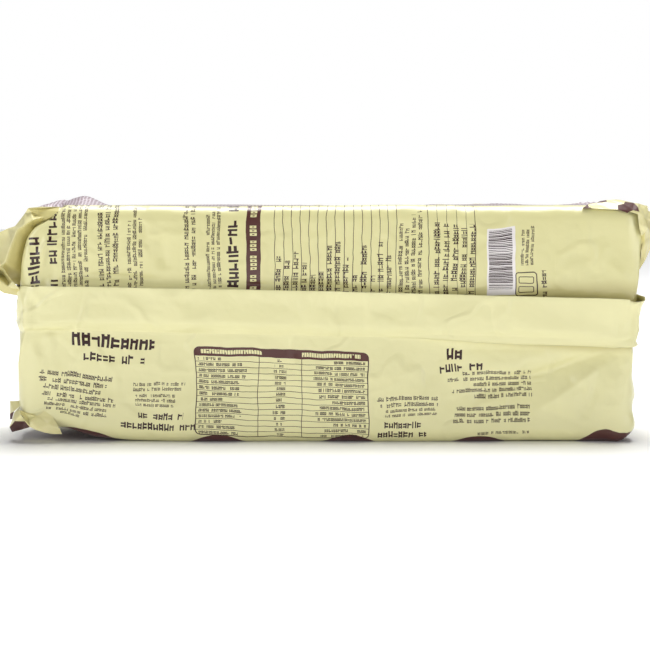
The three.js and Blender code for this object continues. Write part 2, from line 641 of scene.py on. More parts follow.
def way_to_line(
    x: np.ndarray, z: np.ndarray, points: Line
) -> tuple[np.ndarray, np.ndarray, np.ndarray]:
    """Measure how far places are from a line through some points.

    Args:
        x: First coordinates.
        z: Second coordinates.
        points: The line's points.

    Returns:
        The distance to the line, the share of the line at the nearest place, and whether the
        place is on the line's left.
    """
    line = np.array(points, float)
    spans = np.linalg.norm(line[1:] - line[:-1], axis=1)
    nearest = np.full(np.shape(x), np.inf)
    share = np.zeros(np.shape(x))
    left = np.zeros(np.shape(x), bool)
    walked = 0.0
    for (ax, az), (bx, bz), span in zip(line[:-1], line[1:], spans):
        t = np.clip(((x - ax) * (bx - ax) + (z - az) * (bz - az)) / span**2, 0.0, 1.0)
        off = np.hypot(x - ax - t * (bx - ax), z - az - t * (bz - az))
        closer = off < nearest
        nearest = np.where(closer, off, nearest)
        share = np.where(closer, (walked + t * span) / spans.sum(), share)
        left = np.where(closer, (bx - ax) * (z - az) > (bz - az) * (x - ax), left)
        walked += span
    return nearest, share, left


def inside_outline(x: np.ndarray, z: np.ndarray, outline: Line) -> np.ndarray:
    """Test which places lie inside an outline.

    Args:
        x: First coordinates.
        z: Second coordinates.
        outline: The outline's corners.

    Returns:
        True inside.
    """
    inside = np.zeros(np.shape(x), bool)
    for (ax, az), (bx, bz) in zip(outline, outline[1:] + outline[:1]):
        level = az if az != bz else az + 1e-9
        crosses = (az > z) != (bz > z)
        inside ^= crosses & (x < (bx - ax) * (z - az) / (bz - level) + ax)
    return inside


@dataclass(frozen=True)
class Former:
    """The block under the film, its edges rounded and its right end leaning."""

    sizes: PackSizes
    gap: float = 0.0001

    def past_end(self, x: np.ndarray, z: np.ndarray) -> np.ndarray:
        """Measure how far places are past the nearer end of the block.

        Args:
            x: Places along the pack.
            z: Heights.

        Returns:
            Distances, negative inside.
        """
        s = self.sizes
        lean = np.where(x > 0, s.end_lean * (2 * z / s.height - 1), 0.0)
        return np.abs(x) - s.half_length - lean

    def push_out(self, points: np.ndarray) -> np.ndarray:
        """Push points out of the block to its surface.

        Args:
            points: The points.

        Returns:
            The points, those from inside on the surface.
        """
        s = self.sizes
        centre = np.array([0.0, 0.0, s.height / 2])
        lean = s.half_length + self.past_end(points[..., 0], points[..., 2]) - np.abs(points[..., 0])
        side, offset = np.sign(points - centre), np.abs(points - centre)
        offset[..., 0] += lean
        over = offset - (np.array([s.half_length, s.half_depth, s.height / 2]) - s.edge_radius)
        outer = np.maximum(over, 0.0)
        length = np.linalg.norm(outer, axis=-1)
        deep = np.max(over, axis=-1)
        distance = np.where(length > 0, length, deep) - s.edge_radius
        face = (over == deep[..., None]).astype(float)
        way = np.where(length[..., None] > 0, unit_rows(outer), face)
        push = np.maximum(self.gap - distance, 0.0)
        return points + side * way * push[..., None]


@dataclass(frozen=True)
class Hollow:
    """A region that is pressed in with a steep rim, seen from the front, in millimetres."""

    outline: Line
    push: Triple
    rim: float = 1.6
    front: Pair = (12.0, 30.0)

    def move(self, at: np.ndarray) -> np.ndarray:
        """Work out how the hollow moves some points.

        Args:
            at: The points, in metres.

        Returns:
            Their moves, in metres.
        """
        x, z = at[..., 0] / MM, at[..., 2] / MM
        off, _, _ = way_to_line(x, z, self.outline + self.outline[:1])
        strength = np.where(inside_outline(x, z, self.outline), smoothstep(off, 0.0, self.rim), 0.0)
        strength = strength * smoothstep(-at[..., 1] / MM, *self.front)
        return strength[..., None] * np.array(self.push) * MM


@dataclass(frozen=True)
class Crease:
    """A crease that is sharp along its crest, in millimetres on the unrolled film.

    Its two widths are those of its left and its right flank, as its points run.
    """

    points: Line
    height: float
    widths: Pair

    def relief(self, x: np.ndarray, z: np.ndarray) -> np.ndarray:
        """Measure the crease's height.

        Args:
            x: Places along the pack.
            z: Heights on the unrolled film.

        Returns:
            How far the film stands out, negative inwards.
        """
        off, share, left = way_to_line(x, z, self.points)
        fade = np.sqrt(np.clip(4 * share * (1 - share), 0.0, 1.0)) * 0.85 + 0.15
        return self.height * fade * np.exp(-off / np.where(left, *self.widths))


@dataclass(frozen=True)
class Crumple:
    """Slight creases scattered at random over a region of the unrolled film, in millimetres and degrees."""

    count: int
    seed: int
    along: Pair
    up: Pair
    turn: Pair
    length: Pair
    height: Pair
    width: Pair

    def creases(self) -> list[Crease]:
        """Draw the creases.

        Returns:
            The creases.
        """
        draw = np.random.default_rng(self.seed)
        made = []
        for _ in range(self.count):
            x, z = draw.uniform(*self.along), draw.uniform(*self.up)
            turn = math.radians(draw.uniform(*self.turn))
            half = draw.uniform(*self.length) / 2
            bow = draw.uniform(-0.3, 0.3) * half
            dx, dz = math.cos(turn), math.sin(turn)
            line = (
                (x - dx * half, z - dz * half),
                (x - dz * bow, z + dx * bow),
                (x + dx * half, z + dz * half),
            )
            height = draw.uniform(*self.height) * draw.choice((-1.0, 1.0))
            made.append(Crease(line, height, (draw.uniform(*self.width), draw.uniform(*self.width))))
        return made


@dataclass(frozen=True)
class Hump:
    """A soft rise of the film on the top face, in millimetres."""

    centre: Pair
    reach: Pair
    height: float
    top_face: Pair = (100.0, 112.0)

    def move(self, at: np.ndarray) -> np.ndarray:
        """Work out how the hump moves some points.

        Args:
            at: The points, in metres.

        Returns:
            Their moves, in metres.
        """
        x, y, z = at[..., 0] / MM, at[..., 1] / MM, at[..., 2] / MM
        off = np.hypot((x - self.centre[0]) / self.reach[0], (y - self.centre[1]) / self.reach[1])
        strength = (1.0 - smoothstep(off, 0.0, 1.0)) * smoothstep(z, *self.top_face)
        return strength[..., None] * np.array([0.0, 0.0, self.height]) * MM


@dataclass(frozen=True)
class Press:
    """A fold pressed into the film from the front, along a line seen from the front, in millimetres."""

    points: Line
    push: Triple
    widths: Pair
    front: Pair = (12.0, 22.0)

    def move(self, at: np.ndarray) -> np.ndarray:
        """Work out how the press moves some points.

        Args:
            at: The points, in metres.

        Returns:
            Their moves, in metres.
        """
        off, share, _ = way_to_line(at[..., 0] / MM, at[..., 2] / MM, self.points)
        width = self.widths[0] + (self.widths[1] - self.widths[0]) * share
        strength = smoothstep(1.0 - off / width, 0.0, 1.0)
        strength = strength * smoothstep(-at[..., 1] / MM, *self.front)
        return strength[..., None] * np.array(self.push) * MM


@dataclass(frozen=True)
class Facets:
    """Turns soft folds into flat facets with sharp folds between them, by filtering the film's normals."""

    spread: float = 0.0030
    edge: float = 0.32
    passes: int = 7
    reach: int = 2
    settles: int = 14

    @staticmethod
    def quads(film: np.ndarray) -> tuple[np.ndarray, np.ndarray, np.ndarray]:
        """Measure the quads of a film grid.

        Args:
            film: Positions by row and column.

        Returns:
            The quads' centres, unit normals and areas.
        """
        a, b = film[:-1], film[1:]
        c, d = np.roll(film[1:], -1, axis=1), np.roll(film[:-1], -1, axis=1)
        normal = np.cross(c - a, d - b)
        area = np.linalg.norm(normal, axis=2, keepdims=True)
        return (a + b + c + d) / 4, normal / np.maximum(area, 1e-12), area

    def press(self, film: np.ndarray) -> np.ndarray:
        """Press the film into facets.

        Args:
            film: Positions by row and column.

        Returns:
            The new positions.
        """
        centre, normal, area = self.quads(film)
        count = len(normal)
        steps = range(-self.reach, self.reach + 1)
        for _ in range(self.passes):
            total = np.zeros_like(normal)
            for di in steps:
                pick = np.clip(np.arange(count) + di, 0, count - 1)
                for dj in steps:
                    there = np.roll(centre[pick], dj, axis=1)
                    other = np.roll(normal[pick], dj, axis=1)
                    far = np.sum((there - centre) ** 2, axis=2, keepdims=True) / (2 * self.spread**2)
                    turned = np.sum((other - normal) ** 2, axis=2, keepdims=True) / (2 * self.edge**2)
                    total += np.roll(area[pick], dj, axis=1) * np.exp(-far - turned) * other
            normal = unit_rows(total)
        out = film.copy()
        for _ in range(self.settles):
            centre, _, _ = self.quads(out)
            move = np.zeros_like(out)
            faces = np.zeros((len(out), 1, 1))
            for rows in (slice(0, -1), slice(1, None)):
                for dj in (0, 1):
                    plane, middle = np.roll(normal, dj, axis=1), np.roll(centre, dj, axis=1)
                    way = np.sum(plane * (middle - out[rows]), axis=2, keepdims=True)
                    move[rows] += plane * way
                    faces[rows] += 1
            out = out + move / faces
        return out


@dataclass
class Wrapper:
    """The one sheet of film round the block: the body, the closed ends and the fin."""

    grid: FilmGrid
    creases: list[Crease] = field(default_factory=list)
    fin_creases: list[Crease] = field(default_factory=list)
    presses: list[Press | Hollow | Hump] = field(default_factory=list)
    facets: Facets = Facets()
    row_step: float = 0.0020
    sunk_depth: float = 0.0004
    sunk_rings: int = 4
    settles: int = 12
    fin_spare: float = 0.0035
    end_room: float = 0.0008
    end_slope: float = 0.24
    end_tuck: float = 0.0015
    facet_zone: Pair = (0.020, 0.004)
    wave_fade: Pair = (2.0, 30.0)
    seal_fade: Pair = (40.0, 45.0)
    # How far each lift raises the film, and the places along the pack where it starts and is full
    left_lifts: tuple[Triple, ...] = ((1.0, 60.0, 110.0), (1.5, 92.0, 122.0), (4.5, 114.0, 133.0))
    right_lift: Triple = (2.6, 138.0, 158.0)
    lift_fade: Pair = (1.0, 24.0)
    lowest: float = 0.0001
    hang_from: Pair = (25.0, 100.0)
    hang_until: Pair = (150.0, 163.0)
    overhang: float = 0.0018
    # For each column of the lip: its share of the way to the fin, of the overhang, and its stand
    lips: tuple[Triple, ...] = ((0.25, 0.6, 0.0012), (0.5, 1.0, 0.0024), (0.75, 0.75, 0.0031))
    film_gap: float = 0.0003
    tooth: float = 0.00025

    def build(
        self, film: np.ndarray, fin: np.ndarray, finishes: list[bpy.types.Material]
    ) -> bpy.types.Object:
        """Make the film's mesh.

        Args:
            film: The film's positions by row and column.
            fin: The fin's positions by row and column.
            finishes: The materials of the film and of the fin.

        Returns:
            The piece.
        """
        film = self.settle(film)
        fin = self.squeeze(fin, self.fin_spare)
        blade = np.concatenate([film[:, self.grid.root, None], fin], axis=1)
        rows, film = self.finer_rows(film)
        _, blade = self.finer_rows(blade)
        film = self.finer_columns(film, closed=True)
        blade = self.finer_columns(blade, closed=False)[:, 1:]
        root = 2 * self.grid.root
        over = (root + 1 + np.arange(blade.shape[1])) % film.shape[1]
        blade = blade + self.relief(rows, film, self.fin_creases)[:, over]
        film = film + self.relief(rows, film, self.creases)
        film, blade = self.fold(film), self.fold(blade)
        ring = self.join(rows, film, blade, root)
        return self.mesh(rows, ring, film.shape[1], blade.shape[1], root, finishes)

    def settle(self, film: np.ndarray) -> np.ndarray:
        """Bring back film that sank into the block, and press the closed ends against it.

        Args:
            film: Positions by row and column.

        Returns:
            The new positions.
        """
        former = Former(self.grid.sizes)
        sunk = np.linalg.norm(former.push_out(film) - film, axis=2) > self.sunk_depth
        for _ in range(self.sunk_rings):
            near = np.zeros_like(sunk)
            for way in NEIGHBOURS:
                near |= np.roll(sunk, way, axis=(0, 1))
            sunk |= near
        sunk[[0, -1]] = False
        film = former.push_out(film)
        for _ in range(self.settles):
            mean = sum(np.roll(film, way, axis=(0, 1)) for way in NEIGHBOURS) / 4
            film = former.push_out(np.where(sunk[..., None], (film + mean) / 2, film))
        return self.squeeze(film, 0.0)

    def squeeze(self, film: np.ndarray, spare: float) -> np.ndarray:
        """Press film towards the block's ends, firmly near the front and less at the middle.

        Args:
            film: Positions.
            spare: How much further than the rest it may stand off.

        Returns:
            The new positions.
        """
        s = self.grid.sizes
        past = np.maximum(Former(s).past_end(film[..., 0], film[..., 2]), 0.0)
        depth = np.clip(film[..., 1] + s.half_depth, 0.0, s.half_depth)
        room = self.end_room + spare + self.end_slope * depth
        out = film.copy()
        out[..., 0] -= np.sign(film[..., 0]) * (past - past / (1.0 + past / room))
        side = s.half_depth + spare - np.minimum(past, self.end_tuck)
        out[..., 1] = np.where(past > 0, np.clip(film[..., 1], -side, side), film[..., 1])
        return out

    def finer_rows(self, film: np.ndarray) -> tuple[np.ndarray, np.ndarray]:
        """Add rows between the grid's, on smooth curves.

        Args:
            film: Positions by row and column.

        Returns:
            The new rows and positions.
        """
        rows = self.grid.rows
        new = [rows[:1]]
        for a, b in zip(rows[:-1], rows[1:]):
            parts = max(2, round((b - a) / self.row_step))
            new.append(np.linspace(a, b, parts + 1)[1:])
        new_rows = np.concatenate(new)
        index = np.clip(np.searchsorted(rows, new_rows, side="right") - 1, 0, len(rows) - 2)
        t = ((new_rows - rows[index]) / (rows[index + 1] - rows[index]))[:, None, None]
        places = [film[np.clip(index + step, 0, len(rows) - 1)] for step in (-1, 0, 1, 2)]
        return new_rows, between(places, t)

    @staticmethod
    def finer_columns(film: np.ndarray, closed: bool) -> np.ndarray:
        """Add a column between each two, on smooth curves.

        Args:
            film: Positions by row and column.
            closed: Whether the last column is next to the first.

        Returns:
            The new positions.
        """
        if closed:
            before, after = np.roll(film, 1, axis=1), np.roll(film, -1, axis=1)
            beyond = np.roll(film, -2, axis=1)
        else:
            before = np.concatenate([film[:, :1], film[:, :-1]], axis=1)
            after = np.concatenate([film[:, 1:], film[:, -1:]], axis=1)
            beyond = np.concatenate([after[:, 1:], film[:, -1:]], axis=1)
        middle = (9 * (film + after) - before - beyond) / 16
        both = np.stack([film, middle], axis=2).reshape(len(film), -1, 3)
        return both if closed else both[:, :-1]

    def unrolled(self, columns: int) -> np.ndarray:
        """Give each column its height on the unrolled film, from the middle of the underside.

        Args:
            columns: How many columns go round.

        Returns:
            Heights, equal to z on the front.
        """
        s = self.grid.sizes
        share = np.arange(columns) / columns
        from_root = np.mod(self.grid.girdle.to_top + share * s.girth, s.girth)
        quarter = math.pi * s.edge_radius / 2
        under = s.girth - (s.root_height - s.edge_radius + quarter + s.half_depth - s.edge_radius)
        return s.root_height + np.where(from_root > under - 1e-9, from_root - s.girth, from_root)

    def relief(self, rows: np.ndarray, film: np.ndarray, creases: list[Crease]) -> np.ndarray:
        """Work out the facets of the ends, and the slack film's waves and creases.

        Args:
            rows: Places of the rows along the pack.
            film: Positions by row and column.
            creases: The creases.

        Returns:
            The move of each point.
        """
        s = self.grid.sizes
        x = rows[:, None] / MM + np.zeros((1, film.shape[1]))
        z = self.unrolled(film.shape[1])[None] / MM + np.zeros((len(rows), 1))
        start, full = (s.half_length - inside for inside in self.facet_zone)
        ends = smoothstep(np.abs(rows), start, full)[:, None, None]
        move = (self.facets.press(film) - film) * ends
        height = smoothstep(s.half_length / MM - np.abs(x), *self.wave_fade) * self.waves(x, z)
        for crease in creases:
            height = height + crease.relief(x, z)
        sealed = smoothstep(np.abs(x), *(s.half_length / MM + past for past in self.seal_fade))
        return move + film_normals(film) * (height * (1.0 - sealed) * MM)[..., None]

    @staticmethod
    def waves(x: np.ndarray, z: np.ndarray) -> np.ndarray:
        """Make the gentle waves of slack film over the block's faces.

        Args:
            x: Places along the pack.
            z: Heights on the unrolled film.

        Returns:
            How far the film stands out.
        """
        slow = 0.36 * np.sin(x / 31.0 + z / 47.0 + 0.6) * np.sin(z / 23.0 + x / 90.0)
        quick = 0.20 * np.sin(x / 13.0 - z / 17.0) * np.sin(x / 37.0 + z / 11.0 + 1.9)
        return slow + quick

    def fold(self, points: np.ndarray) -> np.ndarray:
        """Press the folds of the corners in, and lift the lower left corner off the table.

        Args:
            points: Positions by row and column.

        Returns:
            The new positions.
        """
        for press in self.presses:
            points = points + press.move(points)
        x, z = points[..., 0] / MM, points[..., 2] / MM
        left = sum(rise * smoothstep(-x, low, high) for rise, low, high in self.left_lifts)
        rise, low, high = self.right_lift
        lift = (left + rise * smoothstep(x, low, high) ** 2) * (1.0 - smoothstep(z, *self.lift_fade))
        points[..., 2] = np.maximum(points[..., 2] + lift * MM, self.lowest)
        return points

    @staticmethod
    def gape(x: np.ndarray) -> np.ndarray:
        """Say how far the fin's free edge stands off the film.

        Args:
            x: Places along the pack, in millimetres.

        Returns:
            The gap at each place, in millimetres.
        """
        gape = 0.7 + 1.0 * smoothstep(x, -95.0, 20.0) + 1.6 * smoothstep(x, 85.0, 145.0)
        gape = gape + 0.35 * np.sin(x / 13.0 + 1.0) + 0.2 * np.sin(x / 5.7)
        return gape * (1.0 - smoothstep(x, 156.0, 172.0)) * smoothstep(x, -150.0, -125.0)

    def join(self, rows: np.ndarray, film: np.ndarray, blade: np.ndarray, root: int) -> np.ndarray:
        """Join the film and the fin into one ring of columns, which starts above the fin's root.

        Args:
            rows: Places of the rows along the pack.
            film: The film's positions by row and column.
            blade: The fin's positions by row and column, without its root.
            root: The film's column at the fin's root.

        Returns:
            Positions by row and column: the film, three columns of the fin's lip, its front, its
            edge and its back.
        """
        normal = film_normals(film)
        columns = film.shape[1]
        over = (root + 1 + np.arange(blade.shape[1])) % columns
        outward = unit_rows(blade - film[:, over] + normal[:, over] * self.grid.layer_gap)
        x = rows / MM
        hang = smoothstep(x, *self.hang_from) * (1.0 - smoothstep(x, *self.hang_until))
        hang = hang[:, None]
        rise = np.linspace(0.0, 1.0, blade.shape[1])[None]
        stand = (1.0 - 0.65 * rise) * self.grid.fin_gap * hang + rise**1.6 * self.gape(x)[:, None] * MM
        middle = blade + outward * stand[..., None]
        front, back = middle + outward * self.film_gap / 2, middle - outward * self.film_gap / 2
        foot, out = film[:, root], normal[:, root]
        down = unit_rows(film[:, root - 3] - foot)
        way = front[:, 0] - foot
        lips = []
        for share, drop, off in self.lips:
            hung = down * drop * self.overhang + out * off
            lips.append(foot + way * share * (1.0 - hang) + hung * hang)
        turned = np.roll(film, -root, axis=1)
        turned[:, 0] = foot * 0.8 + film[:, (root + 1) % columns] * 0.2
        edge = middle[:, -1:] + (middle[:, -1:] - middle[:, -2:-1]) * 0.25
        parts = [turned, foot[:, None], np.stack(lips, axis=1), front, edge, back[:, ::-1]]
        ring = np.concatenate(parts, axis=1)
        tip = np.minimum(np.arange(columns), columns - np.arange(columns))
        tooth = np.roll(np.where(tip // 2 % 2 == 0, 1.0, -1.0), -root)[:, None] * self.tooth
        for end, inner in ((0, 1), (-1, -2)):
            ring[end, :columns] += unit_rows(ring[end, :columns] - ring[inner, :columns]) * tooth
        return ring

    def mesh(
        self,
        rows: np.ndarray,
        ring: np.ndarray,
        around: int,
        blade: int,
        root: int,
        finishes: list[bpy.types.Material],
    ) -> bpy.types.Object:
        """Turn the ring into a mesh that is shut at both end seals.

        Args:
            rows: Places of the rows along the pack.
            ring: Positions by row and column.
            around: How many columns the film has.
            blade: How many columns the fin has.
            root: The film's column at the fin's root.
            finishes: The materials of the film and of the fin.

        Returns:
            The piece.
        """
        s = self.grid.sizes
        count, columns = ring.shape[:2]
        step = s.girth / around
        heights = np.roll(self.unrolled(around), -root)
        climb = np.arange(1, blade + 1) * step
        lip = np.linspace(0.0, step, len(self.lips) + 1, endpoint=False)
        fin = np.concatenate([lip, climb, climb[-1:] + step / 4, climb[::-1], [0.0]])
        low = np.concatenate([heights, fin[:-1]])
        high = np.concatenate([heights + step, fin[1:]])
        skew = s.root_skew * np.clip(rows / s.half_length, -1.0, 1.0)
        faces, marks, dressed = [], [], []
        for i in range(count - 1):
            for j in range(columns):
                k = (j + 1) % columns
                near, far = i * columns, (i + 1) * columns
                faces.append((near + j, far + j, far + k, near + k))
                here, there = (skew[i], skew[i + 1]) if j < around else (0.0, 0.0)
                marks += [(rows[i], low[j] - here), (rows[i + 1], low[j] - there)]
                marks += [(rows[i + 1], high[j] - there), (rows[i], high[j] - here)]
                dressed.append(0 if j < around else 1)

        def place(column: int, beside: int) -> int:
            """Find a film column's place in the ring, seen from the column beside it."""
            column, beside = column % around, beside % around
            if column == root and (column - beside) % around == 1:
                return around
            return (column - root) % around

        for i, order in ((0, -1), (count - 1, 1)):
            for j in range(around // 2):
                corners = [(j, j + 1), (j + 1, j), (-j - 1, -j), (-j, -j - 1)][::order]
                spots = list(dict.fromkeys(place(a, b) for a, b in corners))
                if len(spots) > 2:
                    faces.append(tuple(i * columns + spot for spot in spots))
                    marks += [(rows[i], heights[spot % around] - skew[i]) for spot in spots]
                    dressed.append(0)
        piece = mesh_piece("film_wrapper", ring.reshape(-1, 3), faces, marks, finishes)
        piece.data.polygons.foreach_set("material_index", dressed)
        return piece


@dataclass(frozen=True)
class Sheet:
    """One folded sheet of an ear, by its points' names: its outline, further points and folds."""

    outline: str
    inner: str = ""
    folds: str = ""
    dress: Dress = Dress.BARE
    above: bool = False


@dataclass(frozen=True)
class Ear:
    """A crumpled corner of the film, in facets between points.

    Its points are a table of names, each with its x, y and z in millimetres. A sheet is cut into
    facets as it is seen from the eye, or from above.
    """

    name: str
    points: str
    sheets: tuple[Sheet, ...]
    splits: int = 3
    softenings: int = 2
    seed: int = 5
    dents: int = 5
    dent_pitch: float = 420.0
    dent_depth: float = 0.00007
    eye: Triple = (-1.0, -937.3, 121.2)
    focus: float = 900.0

    def places(self) -> dict[str, np.ndarray]:
        """Read the table of points."""
        rows = [row.split() for row in self.points.split(",")]
        return {name: np.array([float(value) for value in place]) for name, *place in rows}

    def facets(self, sheet: Sheet) -> list[tuple[str, ...]]:
        """Cut a sheet into triangles along its folds.

        Args:
            sheet: The sheet.

        Returns:
            The names of each triangle's corners.
        """
        places = self.places()
        outline = sheet.outline.split()
        names = outline + sheet.inner.split()
        if sheet.above:
            flat = [Vector(places[name][:2]) for name in names]
        else:
            away = [places[name] - self.eye for name in names]
            flat = [Vector((self.focus * way[0] / way[1], self.focus * way[2] / way[1])) for way in away]
        folds = [tuple(names.index(end) for end in fold.split("-")) for fold in sheet.folds.split()]
        cut = delaunay_2d_cdt(flat, folds, [list(range(len(outline)))], 1, 1e-5)
        if not all(cut[3]):
            raise ValueError(f"{self.name}: folds cross in {sheet.outline}")
        return [tuple(names[cut[3][corner][0]] for corner in face) for face in cut[2]]

    def build(self, finishes: list[bpy.types.Material]) -> bpy.types.Object:
        """Make the ear's mesh.

        Args:
            finishes: One material for each dress.

        Returns:
            The piece.
        """
        places = self.places()
        names = list(places)
        points = np.array(list(places.values())) * MM
        faces, inked = [], []
        for sheet in self.sheets:
            for facet in self.facets(sheet):
                faces.append(tuple(names.index(name) for name in facet))
                inked.append(sheet.dress.value)
        faces = self.turned(points, faces)
        for _ in range(self.splits):
            points, faces, inked = self.split(points, faces, inked)
        points = self.soften(points, faces)
        marks = [(points[v][0] + points[v][1], points[v][2]) for face in faces for v in face]
        piece = mesh_piece(self.name, points, faces, marks, finishes)
        piece.data.polygons.foreach_set("material_index", inked)
        return piece

    @staticmethod
    def turned(points: np.ndarray, faces: list[tuple[int, ...]]) -> list[tuple[int, ...]]:
        """Turn the facets' outsides to the front, or up where they lie level.

        Args:
            points: The vertices.
            faces: Triangles.

        Returns:
            The triangles, in outward order.
        """
        out = []
        for face in faces:
            a, b, c = points[list(face)]
            normal = np.cross(b - a, c - a)
            out.append(face if normal[1] - 0.3 * normal[2] < 0 else face[::-1])
        return out

    @staticmethod
    def split(
        points: np.ndarray, faces: list[tuple[int, ...]], inked: list[int]
    ) -> tuple[np.ndarray, list[tuple[int, ...]], list[int]]:
        """Cut each triangle into four.

        Args:
            points: The vertices.
            faces: Triangles.
            inked: The material of each triangle.

        Returns:
            The new vertices, triangles and materials.
        """
        middles: dict[tuple[int, int], int] = {}
        added: list[np.ndarray] = []

        def middle(a: int, b: int) -> int:
            """Find or make the vertex half way between two."""
            key = (min(a, b), max(a, b))
            if key not in middles:
                middles[key] = len(points) + len(added)
                added.append((points[a] + points[b]) / 2)
            return middles[key]

        new_faces, new_inked = [], []
        for (a, b, c), ink in zip(faces, inked):
            ab, bc, ca = middle(a, b), middle(b, c), middle(c, a)
            new_faces += [(a, ab, ca), (ab, b, bc), (ca, bc, c), (ab, bc, ca)]
            new_inked += [ink] * 4
        return np.vstack([points, np.array(added)]), new_faces, new_inked

    def soften(self, points: np.ndarray, faces: list[tuple[int, ...]]) -> np.ndarray:
        """Round the folds a little and give the facets slight dents.

        Args:
            points: The vertices.
            faces: Triangles.

        Returns:
            The new vertices.
        """
        edges = np.array([(face[i], face[i - 1]) for face in faces for i in range(3)])
        both, uses = np.unique(np.sort(edges, axis=1), axis=0, return_counts=True)
        rim = np.zeros(len(points), bool)
        rim[both[uses == 1].reshape(-1)] = True
        for _ in range(self.softenings):
            total, count = np.zeros_like(points), np.zeros((len(points), 1))
            for a, b in ((both[:, 0], both[:, 1]), (both[:, 1], both[:, 0])):
                np.add.at(total, a, points[b])
                np.add.at(count, a, 1.0)
            mean = total / np.maximum(count, 1.0)
            points = np.where(rim[:, None], points, points * 0.5 + mean * 0.5)
        draw = np.random.default_rng(self.seed)
        dent = np.zeros(len(points))
        for _ in range(self.dents):
            wave = draw.normal(size=3) * self.dent_pitch
            dent += np.sin(points @ wave + draw.uniform(0.0, 6.28)) * self.dent_depth
        points[:, 1] += np.where(rim, 0.0, dent)
        return points


def mesh_piece(
    name: str,
    points: np.ndarray,
    faces: list[tuple[int, ...]],
    marks: list[Pair],
    finishes: list[bpy.types.Material],
) -> bpy.types.Object:
    """Make a smooth piece with its place on the unrolled film as its UV map.

    Args:
        name: The piece's name.
        points: Its vertices.
        faces: Its faces.
        marks: The unrolled place of each face corner.
        finishes: Its materials.

    Returns:
        The piece, in the scene.
    """
    mesh = bpy.data.meshes.new(name)
    mesh.from_pydata(points.tolist(), [], faces)
    layer = mesh.uv_layers.new(name="unrolled")
    layer.data.foreach_set("uv", np.array(marks, np.float32).reshape(-1))
    mesh.polygons.foreach_set("use_smooth", [True] * len(mesh.polygons))
    for finish in finishes:
        mesh.materials.append(finish)
    piece = bpy.data.objects.new(name, mesh)
    bpy.context.scene.collection.objects.link(piece)
    return piece


def add_node(
    tree: bpy.types.NodeTree, kind: str, inputs: dict[int | str, "Source"], **settings: str
) -> bpy.types.Node:
    """Add a node to a tree.

    Args:
        tree: The node tree.
        kind: The node's type, without the word that all types begin with.
        inputs: What its inputs take, by name or number: a value is set, anything else is linked.
        settings: Its properties.

    Returns:
        The node.
    """
    node = tree.nodes.new(f"ShaderNode{kind}")
    for name, value in settings.items():
        setattr(node, name, value)
    for name, value in inputs.items():
        if isinstance(value, (int, float, tuple)):
            node.inputs[name].default_value = value
        else:
            tree.links.new(value.socket if isinstance(value, Reading) else value, node.inputs[name])
    return node


class Reading:
    """A number that varies over a surface, held as a socket of a node tree."""

    def __init__(self, tree: bpy.types.NodeTree, socket: bpy.types.NodeSocket) -> None:
        """Hold a socket."""
        self.tree = tree
        self.socket = socket

    def math(self, operation: str, *others: "Reading | float") -> "Reading":
        """Apply a Math node."""
        node = add_node(self.tree, "Math", dict(enumerate((self, *others))), operation=operation)
        return Reading(self.tree, node.outputs[0])

    def __add__(self, other: "Reading | float") -> "Reading":
        """Add."""
        return self.math("ADD", other)

    def __sub__(self, other: "Reading | float") -> "Reading":
        """Subtract."""
        return self.math("SUBTRACT", other)

    def __mul__(self, other: "Reading | float") -> "Reading":
        """Multiply."""
        return self.math("MULTIPLY", other)

    def __truediv__(self, other: "Reading | float") -> "Reading":
        """Divide."""
        return self.math("DIVIDE", other)

    def below(self, other: "Reading | float") -> "Reading":
        """Give 1 where this is less."""
        return self.math("LESS_THAN", other)

    def above(self, other: "Reading | float") -> "Reading":
        """Give 1 where this is more."""
        return self.math("GREATER_THAN", other)

    def floor(self) -> "Reading":
        """Round down."""
        return self.math("FLOOR")

    def fraction(self) -> "Reading":
        """Drop the whole part."""
        return self.math("FRACT")

    def size(self) -> "Reading":
        """Drop the sign."""
        return self.math("ABSOLUTE")

    def larger(self, other: "Reading | float") -> "Reading":
        """Take the larger."""
        return self.math("MAXIMUM", other)

    def smaller(self, other: "Reading | float") -> "Reading":
        """Take the smaller."""
        return self.math("MINIMUM", other)

    def inverse(self) -> "Reading":
        """Take 1 minus this."""
        return self.math("MULTIPLY_ADD", -1.0, 1.0)

    def wave(self) -> "Reading":
        """Swing from 0 to 1 and back, once for each whole number."""
        return self.math("MULTIPLY", 2 * math.pi).math("SINE") * 0.5 + 0.5

    def eased(self, low: float, high: float) -> "Reading":
        """Ease from 0 at low to 1 at high."""
        inputs = {"Value": self, "From Min": low, "From Max": high}
        node = add_node(self.tree, "MapRange", inputs, interpolation_type="SMOOTHSTEP")
        return Reading(self.tree, node.outputs["Result"])


Source = Reading | bpy.types.NodeSocket | float | tuple


